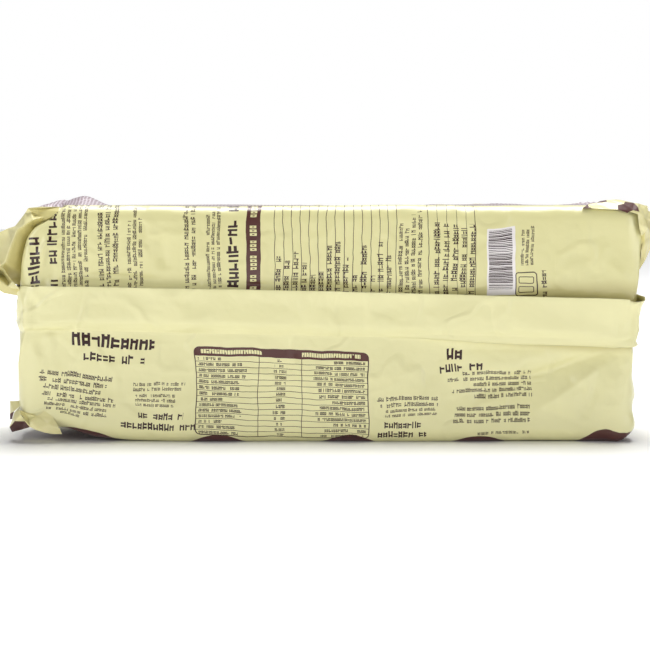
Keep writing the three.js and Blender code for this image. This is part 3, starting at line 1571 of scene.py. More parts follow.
class Surface:
    """A material's node tree with the helpers that its finish is written with."""

    def __init__(self, name: str, sway: float = 0.0) -> None:
        """Start a material.

        Args:
            name: Its name.
            sway: How far the print is pulled about by the uneven film, in millimetres.
        """
        self.material = bpy.data.materials.new(name)
        self.material.use_nodes = True
        self.tree = self.material.node_tree
        self.shader = self.tree.nodes["Principled BSDF"]
        unrolled = self.add("UVMap", {}, uv_map="unrolled").outputs["UV"]
        inputs = {0: unrolled, "Scale": 1.0 / MM}
        self.place = self.add("VectorMath", inputs, operation="SCALE").outputs["Vector"]
        if sway:
            self.place = self.swayed(sway)
        self.x, self.z, _ = self.parts(self.place)

    def add(self, kind: str, inputs: dict[int | str, Source], **settings: str) -> bpy.types.Node:
        """Add a node, as add_node does."""
        return add_node(self.tree, kind, inputs, **settings)

    def parts(self, vector: bpy.types.NodeSocket) -> list[Reading]:
        """Split a vector into its three numbers."""
        return [Reading(self.tree, out) for out in self.add("SeparateXYZ", {0: vector}).outputs]

    def swayed(self, sway: float) -> bpy.types.NodeSocket:
        """Pull the unrolled place about a little, unevenly.

        Args:
            sway: How far, in millimetres.

        Returns:
            The moved place's socket.
        """
        held = self.place
        for scale, share in ((0.035, 1.0), (0.14, 0.3)):
            noise = self.add("TexNoise", {"Vector": self.place, "Scale": scale, "Detail": 1.0})
            inputs = {0: noise.outputs["Color"], 1: (0.5, 0.5, 0.5)}
            centred = self.add("VectorMath", inputs, operation="SUBTRACT")
            inputs = {0: centred.outputs[0], 1: (sway * share, sway * share, 0.0), 2: held}
            held = self.add("VectorMath", inputs, operation="MULTIPLY_ADD").outputs[0]
        return held

    def random(self, *seeds: Reading | float) -> Reading:
        """Draw a fixed random number for a set of up to three numbers."""
        joined = self.add("CombineXYZ", dict(enumerate(seeds))).outputs[0]
        return Reading(self.tree, self.add("TexWhiteNoise", {"Vector": joined}).outputs["Value"])

    def noise(self, scale: float, detail: float, rough: float = 0.5, offset: float = 0.0) -> Reading:
        """Read smooth noise on the unrolled film.

        Args:
            scale: Waves for each millimetre.
            detail: Octaves.
            rough: How strong the finer octaves are.
            offset: A shift that makes a different pattern.

        Returns:
            A number around 0.5.
        """
        shift = {0: self.place, 1: (offset, offset * 0.7, offset * 0.3)}
        moved = self.add("VectorMath", shift, operation="ADD").outputs[0]
        inputs = {"Vector": moved, "Scale": scale, "Detail": detail, "Roughness": rough}
        return Reading(self.tree, self.add("TexNoise", inputs).outputs["Fac"])

    def blend(self, share: Reading, low: Source, high: Source) -> bpy.types.NodeSocket:
        """Mix two colours."""
        low, high = ((*value, 1.0) if isinstance(value, tuple) else value for value in (low, high))
        return self.add("Mix", {"Factor": share, 6: low, 7: high}, data_type="RGBA").outputs[2]

    def bump(self, height: Reading, distance: float) -> None:
        """Bump the surface, on top of the bumps that it has.

        Args:
            height: The height, from 0 to 1.
            distance: The height's size in metres.
        """
        inputs = {"Distance": distance, "Height": height}
        normal = self.shader.inputs["Normal"]
        if normal.links:
            inputs["Normal"] = normal.links[0].from_socket
        self.tree.links.new(self.add("Bump", inputs).outputs["Normal"], normal)

    def finish(self, base: bpy.types.NodeSocket, roughness: float, coat: float = 0.3) -> None:
        """Give the surface the satin gloss and fine wrinkles of thin film.

        Args:
            base: Its colour.
            roughness: Its mean roughness.
            coat: How glossy the clear coat over it is.
        """
        shader = self.shader
        self.tree.links.new(base, shader.inputs["Base Color"])
        rough = self.noise(0.12, 5.0, 0.55, 3.0) * 0.14 + (roughness - 0.07)
        self.tree.links.new(rough.socket, shader.inputs["Roughness"])
        shader.inputs["IOR"].default_value = 1.5
        shader.inputs["Coat Weight"].default_value = coat
        shader.inputs["Coat Roughness"].default_value = 0.18
        wrinkles = self.noise(0.035, 3.0, 0.5, 21.0)
        self.bump(wrinkles, 0.0026)
        pleats = (self.noise(0.028, 2.0, 0.5, 41.0) - 0.5).size().eased(0.06, 0.0)
        self.bump(pleats, 0.0004)
        fine = self.noise(0.5, 3.0, 0.6, 5.0)
        self.bump(fine, 0.00006)


@dataclass(frozen=True)
class TextBlock:
    """A block of rows of plain marks, in millimetres on the unrolled film."""

    x: float
    z: float
    width: float
    height: float
    rows: int
    turn: float = 0.0
    weight: Weight = Weight.FINE
    ragged: float = 0.25
    align: Align = Align.START


@dataclass(frozen=True)
class Palette:
    """The colours of the film and its print, and of painted shade, as linear RGB."""

    cream: Triple = (0.79, 0.752, 0.415)
    # Painted shade: the upper panel made darker and yellower than the lower.
    upper_shade_cream: Triple = (0.73, 0.69, 0.35)
    brown: Triple = (0.085, 0.024, 0.019)
    ink: Triple = (0.028, 0.005, 0.004)
    halftone: Triple = (0.27, 0.175, 0.195)
    # The ears' bare film: the cream made a little darker and yellower, partly painted shade.
    bare: Triple = (0.77, 0.71, 0.36)
    # Painted shade: a darker olive copy of the film for the ears' sheets turned away from the light.
    inner: Triple = (0.66, 0.59, 0.25)
    # Painted shade above the fin's free edge and under the fin's lip, where the fin shades the film.
    fin_shade_olive: Triple = (0.46, 0.39, 0.14)
    lilac_white: Triple = (0.83, 0.79, 0.78)
    lilac: Triple = (0.6, 0.53, 0.57)


LOWER_BLOCKS = (
    TextBlock(-126.0, 46.5, 41.0, 9.2, 1, -3.0, Weight.BOLD, 0.0),
    TextBlock(-120.7, 39.6, 31.0, 6.2, 1, -3.0, Weight.BOLD, 0.0),
    TextBlock(-143.5, 23.5, 40.0, 14.4, 4, -7.0),
    TextBlock(-140.0, 14.0, 38.0, 9.8, 3, -7.0),
    TextBlock(-131.5, 10.6, 11.0, 3.0, 1, -7.0),
    TextBlock(-95.6, 25.6, 25.6, 5.0, 2, -1.0, Weight.FINE, 0.1),
    TextBlock(-94.6, 18.0, 22.0, 7.0, 3, -1.0),
    TextBlock(-93.6, 11.2, 22.6, 4.8, 1, 0.0, Weight.BOLD, 0.0),
    TextBlock(-102.0, 5.4, 37.5, 5.2, 1, 0.0, Weight.BOLD, 0.0),
    TextBlock(59.6, 39.6, 15.8, 8.0, 1, 1.0, Weight.BOLD, 0.0),
    TextBlock(55.7, 33.7, 22.4, 5.8, 1, 1.0, Weight.BOLD, 0.0),
    TextBlock(58.6, 21.3, 43.0, 14.0, 5, 1.0, Weight.FINE, 0.35, Align.END),
    TextBlock(56.7, 9.4, 44.0, 9.2, 3, 1.0, Weight.FINE, 0.2, Align.END),
    TextBlock(74.4, 3.6, 25.8, 2.8, 1, 1.0, Weight.FINE, 0.0),
    TextBlock(23.8, 17.0, 30.6, 6.0, 2, 1.0, Weight.FINE, 0.15, Align.END),
    TextBlock(27.0, 12.6, 27.0, 4.4, 2, 1.0, Weight.FINE, 0.15, Align.END),
    TextBlock(28.0, 6.4, 19.6, 4.6, 1, 0.0, Weight.BOLD, 0.0),
    TextBlock(25.0, 1.2, 24.6, 5.0, 1, 0.0, Weight.BOLD, 0.0),
)
UPPER_BLOCKS = (
    TextBlock(-139.8, 60.0, 43.0, 9.4, 1, 90.0, Weight.BOLD, 0.0),
    TextBlock(-131.2, 60.0, 60.0, 7.0, 1, 90.0, Weight.BOLD, 0.0),
    TextBlock(-116.7, 60.0, 64.0, 14.0, 5, 90.0, Weight.FINE, 0.1),
    TextBlock(-102.0, 60.0, 66.0, 11.0, 3, 90.0, Weight.FINE, 0.1),
    TextBlock(-90.4, 60.0, 64.0, 8.4, 3, 90.0, Weight.FINE, 0.3),
    TextBlock(-64.0, 60.0, 70.0, 7.0, 2, 90.0, Weight.FINE, 0.1),
    TextBlock(-51.7, 60.0, 66.0, 8.0, 3, 90.0, Weight.FINE, 0.2),
    TextBlock(-41.8, 60.0, 70.0, 8.2, 1, 90.0, Weight.BOLD, 0.0),
    TextBlock(32.6, 70.0, 30.0, 58.8, 14, 90.0, Weight.FINE, 0.6),
    TextBlock(47.6, 60.0, 64.0, 12.6, 4, 90.0, Weight.FINE, 0.35),
    TextBlock(73.0, 60.0, 56.0, 21.0, 5, 90.0, Weight.FINE, 0.2),
    TextBlock(102.4, 88.0, 18.6, 7.4, 3, 90.0, Weight.FINE, 0.1),
    TextBlock(108.2, 60.0, 25.6, 3.6, 1, 90.0, Weight.BOLD, 0.0),
)


@dataclass(frozen=True)
class PrintedFilm:
    """Satin flow-wrap film, cream with chocolate brown print, and painted shade on the upper panel, above
    the fin's edge and under its lip.
    """

    palette: Palette = Palette()
    roughness: float = 0.32
    seal_start: float = 197.0
    crimp_pitch: float = 1.6
    sway: float = 3.2
    scallop: float = 64.3
    scallop_start: float = 53.7
    header: float = 4.6

    def material(self) -> bpy.types.Material:
        """Build the film's material.

        Returns:
            The material.
        """
        surface = Surface("printed_film", self.sway)
        x, z, palette = surface.x, surface.z, self.palette
        fields = self.scallops(surface).larger(self.stripe(surface))
        back, shapes = self.back_panel(surface)
        fields = fields.larger(back * shapes.inverse())
        table, header = self.facts_table(surface)
        text = self.text(surface, LOWER_BLOCKS + UPPER_BLOCKS).larger(table)
        text = text.larger(self.rule_lines(surface))
        pale, bars = self.bar_field(surface)
        ribbon, dots = self.ribbon(surface)
        tone = surface.noise(0.02, 2.0, offset=7.0).eased(0.35, 0.7)
        base = surface.blend(tone, palette.cream, tuple(0.96 * c for c in palette.cream))
        # Painted shade: a band just above the fin's free edge and one under its lip on the right.
        shade_over_fin = z.eased(83.0, 73.5) * z.above(60.0) * x.eased(10.0, 130.0)
        shade_under_lip = z.eased(43.5, 49.0) * z.below(60.0) * x.eased(70.0, 125.0)
        for share, colour in (
            # Painted shade: the upper panel darker and yellower than the lower.
            (z.eased(64.0, 78.0) * z.eased(122.0, 112.0), palette.upper_shade_cream),
            # Painted shade above the fin's edge and under its lip.
            (shade_over_fin * 0.5 + shade_under_lip * 0.55, palette.fin_shade_olive),
            (pale, palette.lilac_white),
            (ribbon, palette.lilac),
            (dots, palette.halftone),
            (fields.larger(header), palette.brown),
            (text.larger(bars), palette.ink),
        ):
            base = surface.blend(share, base, colour)
        surface.finish(base, self.roughness)
        past = x.size() - self.seal_start
        surface.bump((past / self.crimp_pitch).wave() * past.eased(-0.5, 0.5), 0.0003)
        return surface.material

    def text(self, surface: Surface, blocks: tuple[TextBlock, ...]) -> Reading:
        """Print the rows of marks.

        Args:
            surface: The material.
            blocks: The text blocks.

        Returns:
            1 where there is ink.
        """
        held: list[Source] = [(-9.0, -9.0, 0.0), (1.0, 1.0, 1.0), (1.0, 1.0, 1.0)]
        for number, block in enumerate(blocks):
            inputs = {
                "Vector": surface.place,
                "Location": (block.x, block.z, 0.0),
                "Rotation": (0.0, 0.0, math.radians(block.turn)),
                "Scale": (block.width, block.height, 1.0),
            }
            local = surface.add("Mapping", inputs, vector_type="TEXTURE").outputs["Vector"]
            inside = self.within(surface, local)
            reach = 1.0 if block.align is Align.START else -1.0
            sizes = (block.width, float(block.rows), number * 3.7 + 1.0)
            manner = (block.ragged * reach, float(block.weight.value), block.height / block.rows)
            held = [
                surface.add("Mix", {"Factor": inside, 4: old, 5: new}, data_type="VECTOR").outputs[1]
                for old, new in zip(held, (local, sizes, manner))
            ]
        u, v, _ = surface.parts(held[0])
        width, rows, seed = surface.parts(held[1])
        ragged, bold, pitch = surface.parts(held[2])
        row = (v * rows).floor()
        across = (v * rows).fraction()
        present = u.above(-5.0)
        loose = ragged.size() * surface.random(row, seed, 3.0)
        from_start = ragged.below(0.0)
        end_room = u.inverse().above(loose * from_start.inverse())
        start_room = u.above(loose * from_start)
        cell_width = pitch * (bold * 0.12 + 0.40)
        letter = u * width / cell_width
        cell = letter.floor()
        gap = surface.random(cell, row, seed).below(0.15)
        tall = surface.random(cell, row, seed + 5.0).above(0.72) * 0.14 + 0.58
        rise = (across - 0.18) / tall
        band = rise.above(0.0) * rise.below(1.0)
        marks = self.glyph(surface, letter.fraction() / 0.84, rise, (cell, row, seed), bold)
        return marks * band * gap.inverse() * end_room * start_room * present

    @staticmethod
    def glyph(
        surface: Surface, across: Reading, rise: Reading, seeds: tuple[Reading, ...], bold: Reading
    ) -> Reading:
        """Draw a plain mark of a few short strokes, which is no letter of any script.

        Args:
            surface: The material.
            across: The place across the mark, from 0 to 1.
            rise: The height in the mark, from 0 to 1.
            seeds: What picks the mark's strokes.
            bold: 1 where strokes are heavy.

        Returns:
            1 on a stroke.
        """
        cell, row, seed = seeds
        thick = bold * 0.03 + 0.29
        strokes = across.below(thick) * surface.random(cell, row, seed + 11.0).above(0.12)
        right = across.above(thick.inverse()) * surface.random(cell, row, seed + 12.0).above(0.35)
        strokes = strokes.larger(right)
        for height, shift in ((0.27, 13.0), (0.73, 14.0)):
            bar = (rise - height).size().below(thick * 0.42)
            strokes = strokes.larger(bar * surface.random(cell, row, seed + shift).above(0.3))
        return strokes * across.below(1.0)

    @staticmethod
    def within(surface: Surface, local: bpy.types.NodeSocket) -> Reading:
        """Test whether a block holds a point."""
        u, v, _ = surface.parts(local)
        return (u - 0.5).size().larger((v - 0.5).size()).below(0.5)

    @staticmethod
    def bend(surface: Surface, x: float, z: float, turn: float) -> tuple[Reading, Reading]:
        """Read the unrolled place from a turned corner.

        Args:
            surface: The material.
            x: The corner's place along the pack.
            z: The corner's height.
            turn: The turn in degrees.

        Returns:
            The place along and up from the corner.
        """
        c, s = math.cos(math.radians(turn)), math.sin(math.radians(turn))
        dx, dz = surface.x - x, surface.z - z
        return dx * c + dz * s, dz * c - dx * s

    @staticmethod
    def rounded_box(u: Reading, v: Reading, width: float, height: float, radius: float) -> Reading:
        """Measure the distance to the outline of a rounded box.

        Args:
            u: Place along the box from its corner.
            v: Place up the box from its corner.
            width: The box's width.
            height: The box's height.
            radius: The radius of its corners.

        Returns:
            The distance, negative inside.
        """
        a = (u - width / 2).size() - (width / 2 - radius)
        b = (v - height / 2).size() - (height / 2 - radius)
        outer = (a.larger(0.0) * a.larger(0.0) + b.larger(0.0) * b.larger(0.0)).math("SQRT")
        return outer + a.larger(b).smaller(0.0) - radius

    def facts_table(self, surface: Surface) -> tuple[Reading, Reading]:
        """Print the framed table on the lower panel.

        Args:
            surface: The material.

        Returns:
            1 where there is dark ink, and 1 in the brown header.
        """
        width, height, rows = 85.5, 44.0, 14.0
        u, v = self.bend(surface, -64.8, 3.6, -1.6)
        leaned = u + v * 0.035
        box = self.rounded_box(leaned, v, width, height, 3.0)
        inside = box.below(0.0)
        frame = (box + 0.25).size().below(0.26)
        header = v.above(height - self.header)
        step = v / ((height - self.header) / rows)
        row, rise = step.floor(), (step.fraction() - 0.24) / 0.56
        ruled = step.fraction().below(0.09)
        first, second = 31.0, 52.5
        column = (leaned - first).size().below(0.16).larger((leaned - second).size().below(0.16))
        length = surface.random(row, 5.0, 2.0)
        label = leaned.above(1.6) * leaned.below(length * 14.0 + 13.0)
        figure = (leaned - (first + second) / 2).size().below(length * 2.2 + 1.4)
        mirror = leaned.below(width - 1.8) * leaned.above(length * -12.0 + 68.0)
        letter = leaned / 1.15
        cell = letter.floor()
        gap = surface.random(cell, row, 11.0).below(0.15)
        band = rise.above(0.0) * rise.below(1.0)
        heavy = surface.random(row, 8.0, 1.0).above(0.6)
        marks = self.glyph(surface, letter.fraction() / 0.86, rise, (cell, row, row * 0.0 + 31.0), heavy)
        words = label.larger(figure).larger(mirror) * gap.inverse() * band * marks * header.inverse()
        rise, letter = (v - (height - 3.4)) / 2.1, leaned / 1.25
        span = (leaned - 18.0).size().below(14.5).larger((leaned - 67.0).size().below(14.5))
        seeds = (letter.floor(), letter.floor() * 0.5, row)
        title = self.glyph(surface, letter.fraction() / 0.84, rise, seeds, row)
        title = title * span * rise.above(0.0) * rise.below(1.0) * header
        body = frame.larger(ruled).larger(column) * header.inverse()
        return inside * body.larger(words), inside * header * title.inverse()

    def rule_lines(self, surface: Surface) -> Reading:
        """Print the thin upright lines and the small framed table on the upper panel.

        Args:
            surface: The material.

        Returns:
            1 where there is ink.
        """
        x, z = surface.x, surface.z
        lines = ((x + 25.9) / 4.28).fraction().below(0.075)
        lines = lines * x.above(-26.2) * x.below(35.2) * z.above(60.0) * z.below(121.0)
        u, v = self.bend(surface, 50.7, 60.0, 1.2)
        box = self.rounded_box(u, v, 22.5, 62.0, 1.2)
        frame = (box + 0.15).size().below(0.16)
        ruled = (u / 4.5).fraction().below(0.045) * box.below(0.0)
        u, v = self.bend(surface, 93.0, 72.0, 2.0)
        outer = (self.rounded_box(u, v, 10.6, 12.6, 1.6) + 0.25).size().below(0.26)
        lines = lines.larger(frame).larger(ruled).larger(outer)
        for up in (1.8, 6.8):
            box = self.rounded_box(u - 1.6, v - up, 7.4, 3.6, 0.8)
            lines = lines.larger((box + 0.2).size().below(0.2))
        return lines

    def swing(self, surface: Surface) -> Reading:
        """Measure the way along the pack from the middle of the nearest scallop."""
        turn = ((surface.x + self.scallop_start) / self.scallop + 0.5).fraction()
        return turn * self.scallop - self.scallop / 2

    def scallops(self, surface: Surface) -> Reading:
        """Print the scalloped brown borders of the underside, whose tips reach the broad sides.

        Args:
            surface: The material.

        Returns:
            1 where there is ink.
        """
        x, z, phase = surface.x, surface.z, self.swing(surface)
        raised = z + 16.0 - x.eased(122.0, 142.0) * 3.6
        low = (phase * phase + raised * raised).below(19.6 * 19.6).larger(z.below(-10.0))
        foot = (phase * phase + (z - 322.0) * (z - 322.0)).below(22.0 * 22.0).larger(z.above(318.0))
        return low.larger(foot)

    def ribbon(self, surface: Surface) -> tuple[Reading, Reading]:
        """Print the pale lilac ribbon of the top face, with its fine dots.

        Args:
            surface: The material.

        Returns:
            1 in the ribbon, and 1 on its dots.
        """
        phase = self.swing(surface)
        off = (surface.z - 153.5).size()
        field = (phase * phase + (off - 6.0) * (off - 6.0)).below(21.5 * 21.5).larger(off.below(22.0))
        step = surface.x / 1.7
        across = step.fraction() - 0.5
        up = ((surface.z + step.floor() * 0.85) / 1.7).fraction() - 0.5
        return field, field * (across * across + up * up).below(0.13)

    def back_panel(self, surface: Surface) -> tuple[Reading, Reading]:
        """Print the brown field of the back, with a thin cream frame and scattered seeds.

        Args:
            surface: The material.

        Returns:
            1 in the brown field, and 1 on the cream shapes in it.
        """
        u, v = surface.x + 118.0, surface.z - 208.0
        field = self.rounded_box(u, v, 236.0, 74.0, 12.0)
        frame = (field + 4.0).size().below(0.5)
        wide, high = 9.0, 7.0
        cells = ((u / wide).floor(), (v / high).floor())
        du = (u / wide).fraction() * wide - wide / 2 - (surface.random(*cells, 1.0) - 0.5) * 4.0
        dv = (v / high).fraction() * high - high / 2 - (surface.random(*cells, 2.0) - 0.5) * 2.6
        along = du * 0.8 + dv * 0.6
        aside = dv * 0.8 - du * 0.6
        seed = (along * along * 0.35 + aside * aside * 1.6).below(1.0)
        seed = seed * surface.random(*cells, 3.0).above(0.45) * field.below(-8.0)
        return field.below(0.0), frame.larger(seed)

    @staticmethod
    def stripe(surface: Surface) -> Reading:
        """Print the brown stripe with light marks on the upper panel.

        Args:
            surface: The material.

        Returns:
            1 where there is ink.
        """
        aside, step = (surface.x + 36.0).size(), surface.z / 1.9
        band = aside.below(3.4) * surface.z.above(60.0) * surface.z.below(128.0)
        marks = aside.below(1.5) * step.fraction().below(0.7)
        marks = marks * surface.random(step.floor(), 3.0, 6.0).above(0.16)
        hole = (step.fraction() - 0.35).size().below(0.12) * aside.below(0.5)
        return band * (marks * hole.inverse()).inverse()

    def bar_field(self, surface: Surface) -> tuple[Reading, Reading]:
        """Print the pale field with bars on the upper panel.

        Args:
            surface: The material.

        Returns:
            1 in the field, and 1 on the bars.
        """
        u, v = self.bend(surface, 78.9, 72.5, 1.5)
        field = self.rounded_box(u, v, 14.2, 34.0, 0.3).below(0.0)
        step = v / 0.82
        bar = step.fraction().below(surface.random(step.floor(), 2.0, 7.0) * 0.55 + 0.25)
        zone = u.above(0.9) * u.below(12.6) * v.above(3.0) * v.below(33.0)
        return field, bar * zone


@dataclass(frozen=True)
class PlainFilm:
    """The film of the ears in one colour: bare, with solid print, or with painted shade."""

    name: str
    colour: Triple
    roughness: float = 0.30
    coat: float = 0.3

    def material(self) -> bpy.types.Material:
        """Build the film's material.

        Returns:
            The material.
        """
        surface = Surface(self.name)
        tone = surface.noise(0.05, 2.0, offset=27.0).eased(0.35, 0.7)
        base = surface.blend(tone, self.colour, tuple(0.95 * c for c in self.colour))
        surface.finish(base, self.roughness, self.coat)
        return surface.material

@dataclass(frozen=True)
class CrimpedFilm:
    """The same film without print, with the crimped lines of the fin's weld."""

    palette: Palette = Palette()
    roughness: float = 0.34
    weld_pitch: float = 1.35

    def material(self) -> bpy.types.Material:
        """Build the fin's material.

        Returns:
            The material.
        """
        surface = Surface("crimped_film")
        tone = surface.noise(0.03, 2.0, offset=17.0).eased(0.35, 0.7)
        base = surface.blend(tone, self.palette.cream, tuple(1.03 * c for c in self.palette.cream))
        surface.finish(base, self.roughness)
        weld = surface.z.eased(-1.0, 1.0) * surface.z.eased(8.0, 4.0)
        strength = surface.noise(0.02, 1.0, offset=4.0).eased(0.3, 0.65)
        surface.bump((surface.z / self.weld_pitch).wave() * weld * strength, 0.00005)
        return surface.material


@dataclass
class Studio:
    """A pale floor, soft light and the camera, level with the pack and straight in front of it."""

    sizes: PackSizes
    distance: float = 0.90
    elevation: float = 4.0
    across: float = 0.3202
    aim: Pair = (-0.001, 0.0584)
    ambient: float = 0.18
    floor_glow: float = 0.6
    floor_half: float = 6.0
    sensor: float = 36.0

    def build(self) -> None:
        """Set up the floor, the lights, the world and the camera."""
        self.floor()
        self.world()
        self.lamp("key", (-1.1, -1.1, 0.5), 0.7, 7.2)
        self.lamp("fill", (1.1, -1.2, 0.35), 0.7, 5.3)
        self.lamp("overhead", (0.1, 0.35, 1.5), 1.0, 31.0)
        self.lamp("rear", (0.15, 1.1, 0.9), 1.0, 1.4)
        self.camera()

    def floor(self) -> None:
        """Lay the floor."""
        half = self.floor_half
        corners = [(-half, -half, 0.0), (half, -half, 0.0), (half, half, 0.0), (-half, half, 0.0)]
        mesh = bpy.data.meshes.new("floor")
        mesh.from_pydata(corners, [], [(0, 1, 2, 3)])
        material = bpy.data.materials.new("white_table")
        material.use_nodes = True
        tree = material.node_tree
        shader = tree.nodes["Principled BSDF"]
        shader.inputs["Roughness"].default_value = 0.6
        shader.inputs["Emission Color"].default_value = WHITE
        grain = add_node(tree, "TexNoise", {"Scale": 30.0}).outputs["Fac"]
        tone = add_node(tree, "MapRange", {"Value": grain, "To Min": 0.93, "To Max": 0.96})
        tree.links.new(tone.outputs["Result"], shader.inputs["Base Color"])
        place = add_node(tree, "TexCoord", {}).outputs["Object"]
        length = add_node(tree, "VectorMath", {0: place}, operation="LENGTH").outputs["Value"]
        inputs = {"Value": length, "From Min": 0.15, "From Max": 1.1, "To Max": self.floor_glow}
        glow = add_node(tree, "MapRange", inputs, interpolation_type="SMOOTHSTEP")
        tree.links.new(glow.outputs["Result"], shader.inputs["Emission Strength"])
        mesh.materials.append(material)
        floor = bpy.data.objects.new("floor", mesh)
        bpy.context.scene.collection.objects.link(floor)

    def world(self) -> None:
        """Surround the pack with white."""
        world = bpy.data.worlds.new("studio_white")
        world.use_nodes = True
        tree = world.node_tree
        lit = tree.nodes["Background"]
        lit.inputs["Color"].default_value = WHITE
        lit.inputs["Strength"].default_value = self.ambient
        seen = add_node(tree, "Background", {"Color": WHITE}).outputs[0]
        ray = add_node(tree, "LightPath", {}).outputs["Is Camera Ray"]
        mix = add_node(tree, "MixShader", {"Fac": ray, 1: lit.outputs[0], 2: seen})
        tree.links.new(mix.outputs[0], tree.nodes["World Output"].inputs["Surface"])
        bpy.context.scene.world = world
        bpy.context.scene.view_settings.view_transform = "Standard"

    def lamp(self, name: str, place: Triple, size: float, power: float) -> None:
        """Hang a soft lamp that faces the pack.

        Args:
            name: Its name.
            place: Where it hangs.
            size: The side of its square.
            power: Its power in watts.
        """
        light = bpy.data.lights.new(name, "AREA")
        light.energy = power
        light.size = size
        lamp = bpy.data.objects.new(name, light)
        lamp.location = place
        toward = Vector((0.0, 0.0, self.sizes.height / 2)) - lamp.location
        lamp.rotation_euler = toward.to_track_quat("-Z", "Y").to_euler()
        bpy.context.scene.collection.objects.link(lamp)

    def camera(self) -> None:
        """Place the camera."""
        data = bpy.data.cameras.new("camera")
        data.sensor_width = self.sensor
        data.lens = self.sensor * self.distance / self.across
        camera = bpy.data.objects.new("camera", data)
        tilt = math.radians(self.elevation)
        target = Vector((self.aim[0], -self.sizes.half_depth, self.aim[1]))
        back = Vector((0.0, -math.cos(tilt), math.sin(tilt)))
        camera.location = target + back * self.distance
        camera.rotation_euler = (-back).to_track_quat("-Z", "Y").to_euler()
        bpy.context.scene.collection.objects.link(camera)
        bpy.context.scene.camera = camera


LEFT_SEAL = [
    (2.0, -31.0, 21.0, 0.1, 0.9, 0.3),
    (3.0, -29.0, 12.0, 0.1, 0.9, 0.4),
    (5.0, -22.0, 7.0, 0.3, 0.5, 0.8),
    (5.5, -9.0, 9.0, 0.5, 0.5, 0.5),
    (5.0, -1.0, 19.0, 0.3, 0.95, 0.1),
    (4.5, 0.0, 32.0, 0.1, 1.0, 0.0),
    (4.5, 0.0, 58.0, 0.1, 1.0, 0.0),
    (6.0, 0.0, 80.0, 0.15, 1.0, 0.0),
    (8.0, -2.0, 91.0, 0.4, 0.7, -0.5),
    (11.0, -9.0, 97.0, 0.5, 0.1, -0.8),
    (12.5, -16.0, 96.5, 0.4, 0.1, -0.9),
    (12.0, -24.0, 92.0, 0.2, 0.3, -0.9),
    (9.5, -29.5, 87.0, 0.1, 0.5, -0.9),
    (6.0, -32.5, 82.0, 0.0, 0.5, -0.8),
    (3.0, -34.5, 76.5, 0.0, 0.5, -0.8),
    (1.0, -35.5, 71.0, 0.0, 0.4, -0.8),
]
RIGHT_SEAL = [
    (1.0, 26.0, 25.0, 0.0, -0.2, 0.9),
    (1.0, 25.0, 17.0, 0.0, -0.1, 0.9),
    (1.0, 19.0, 9.0, 0.0, 0.0, 1.0),
    (1.0, 9.0, 6.0, 0.1, 0.3, 0.9),
    (0.5, 1.0, 13.0, 0.15, 0.9, 0.3),
    (2.0, 0.0, 36.0, 0.1, 1.0, 0.0),
    (4.0, 0.0, 60.0, 0.1, 1.0, 0.0),
    (6.0, 0.0, 86.0, 0.15, 1.0, 0.0),
    (9.0, -3.0, 101.0, 0.5, 0.7, -0.4),
    (12.0, -11.0, 110.0, 0.5, 0.3, -0.8),
    (12.0, -21.0, 110.0, 0.4, 0.2, -0.9),
    (9.0, -30.0, 105.0, 0.2, 0.4, -0.9),
    (4.0, -36.0, 98.0, 0.1, 0.5, -0.9),
]
CREASES = [
    Crease(((-81.5, 101.0), (-80.5, 84.0)), -1.6, (4.5, 4.5)),
    Crease(((-70.7, 93.0), (-71.5, 75.0)), -0.9, (1.6, 2.4)),
    Crease(((-150.0, 79.0), (-60.0, 77.5), (35.0, 74.5), (85.0, 72.5), (150.0, 71.0)), -3.2, (6.0, 3.0)),
    Crease(((55.0, 50.0), (100.0, 49.0), (150.0, 47.6)), -1.2, (2.0, 6.0)),
    Crease(((-120.0, 79.5), (-84.0, 78.5)), -2.0, (5.0, 2.0)),
    Crease(((-22.0, 77.0), (10.0, 76.0)), -2.2, (6.0, 2.0)),
    Crease(((98.0, 73.0), (152.0, 71.5)), -3.0, (5.5, 2.0)),
    Crease(((144.0, 51.0), (133.0, 46.5), (122.0, 42.5), (112.0, 38.5), (70.0, 26.0)), -5.0, (9.0, 3.6)),
    Crease(((139.0, 43.0), (105.0, 19.0)), 1.8, (6.0, 2.6)),
    Crease(((131.0, 44.0), (100.0, 14.0)), 0.6, (6.0, 6.0)),
    Crease(((134.5, 101.0), (136.5, 92.0), (140.0, 90.0), (148.0, 83.0)), 0.8, (1.8, 2.6)),
    Crease(((-136.5, 51.0), (-133.0, 22.0)), 0.9, (3.5, 2.0)),
]
CRUMPLES = [
    Crumple(18, 3, (-135.0, 140.0), (82.0, 114.0), (40.0, 150.0), (12.0, 34.0), (0.3, 0.9), (1.6, 4.5)),
    Crumple(16, 8, (-135.0, 140.0), (5.0, 48.0), (-30.0, 60.0), (12.0, 40.0), (0.25, 0.75), (2.0, 5.5)),
    Crumple(9, 12, (-146.0, -120.0), (12.0, 100.0), (60.0, 120.0), (14.0, 34.0), (0.4, 1.0), (1.6, 4.0)),
    Crumple(9, 17, (122.0, 148.0), (12.0, 100.0), (50.0, 125.0), (14.0, 34.0), (0.4, 1.0), (1.6, 4.0)),
    Crumple(30, 23, (-140.0, 140.0), (125.0, 300.0), (0.0, 180.0), (14.0, 40.0), (0.25, 0.8), (1.8, 5.0)),
]
FIN_CRUMPLE = Crumple(
    14, 29, (-130.0, 140.0), (54.0, 76.0), (55.0, 125.0), (8.0, 20.0), (0.2, 0.6), (2.5, 6.0)
)
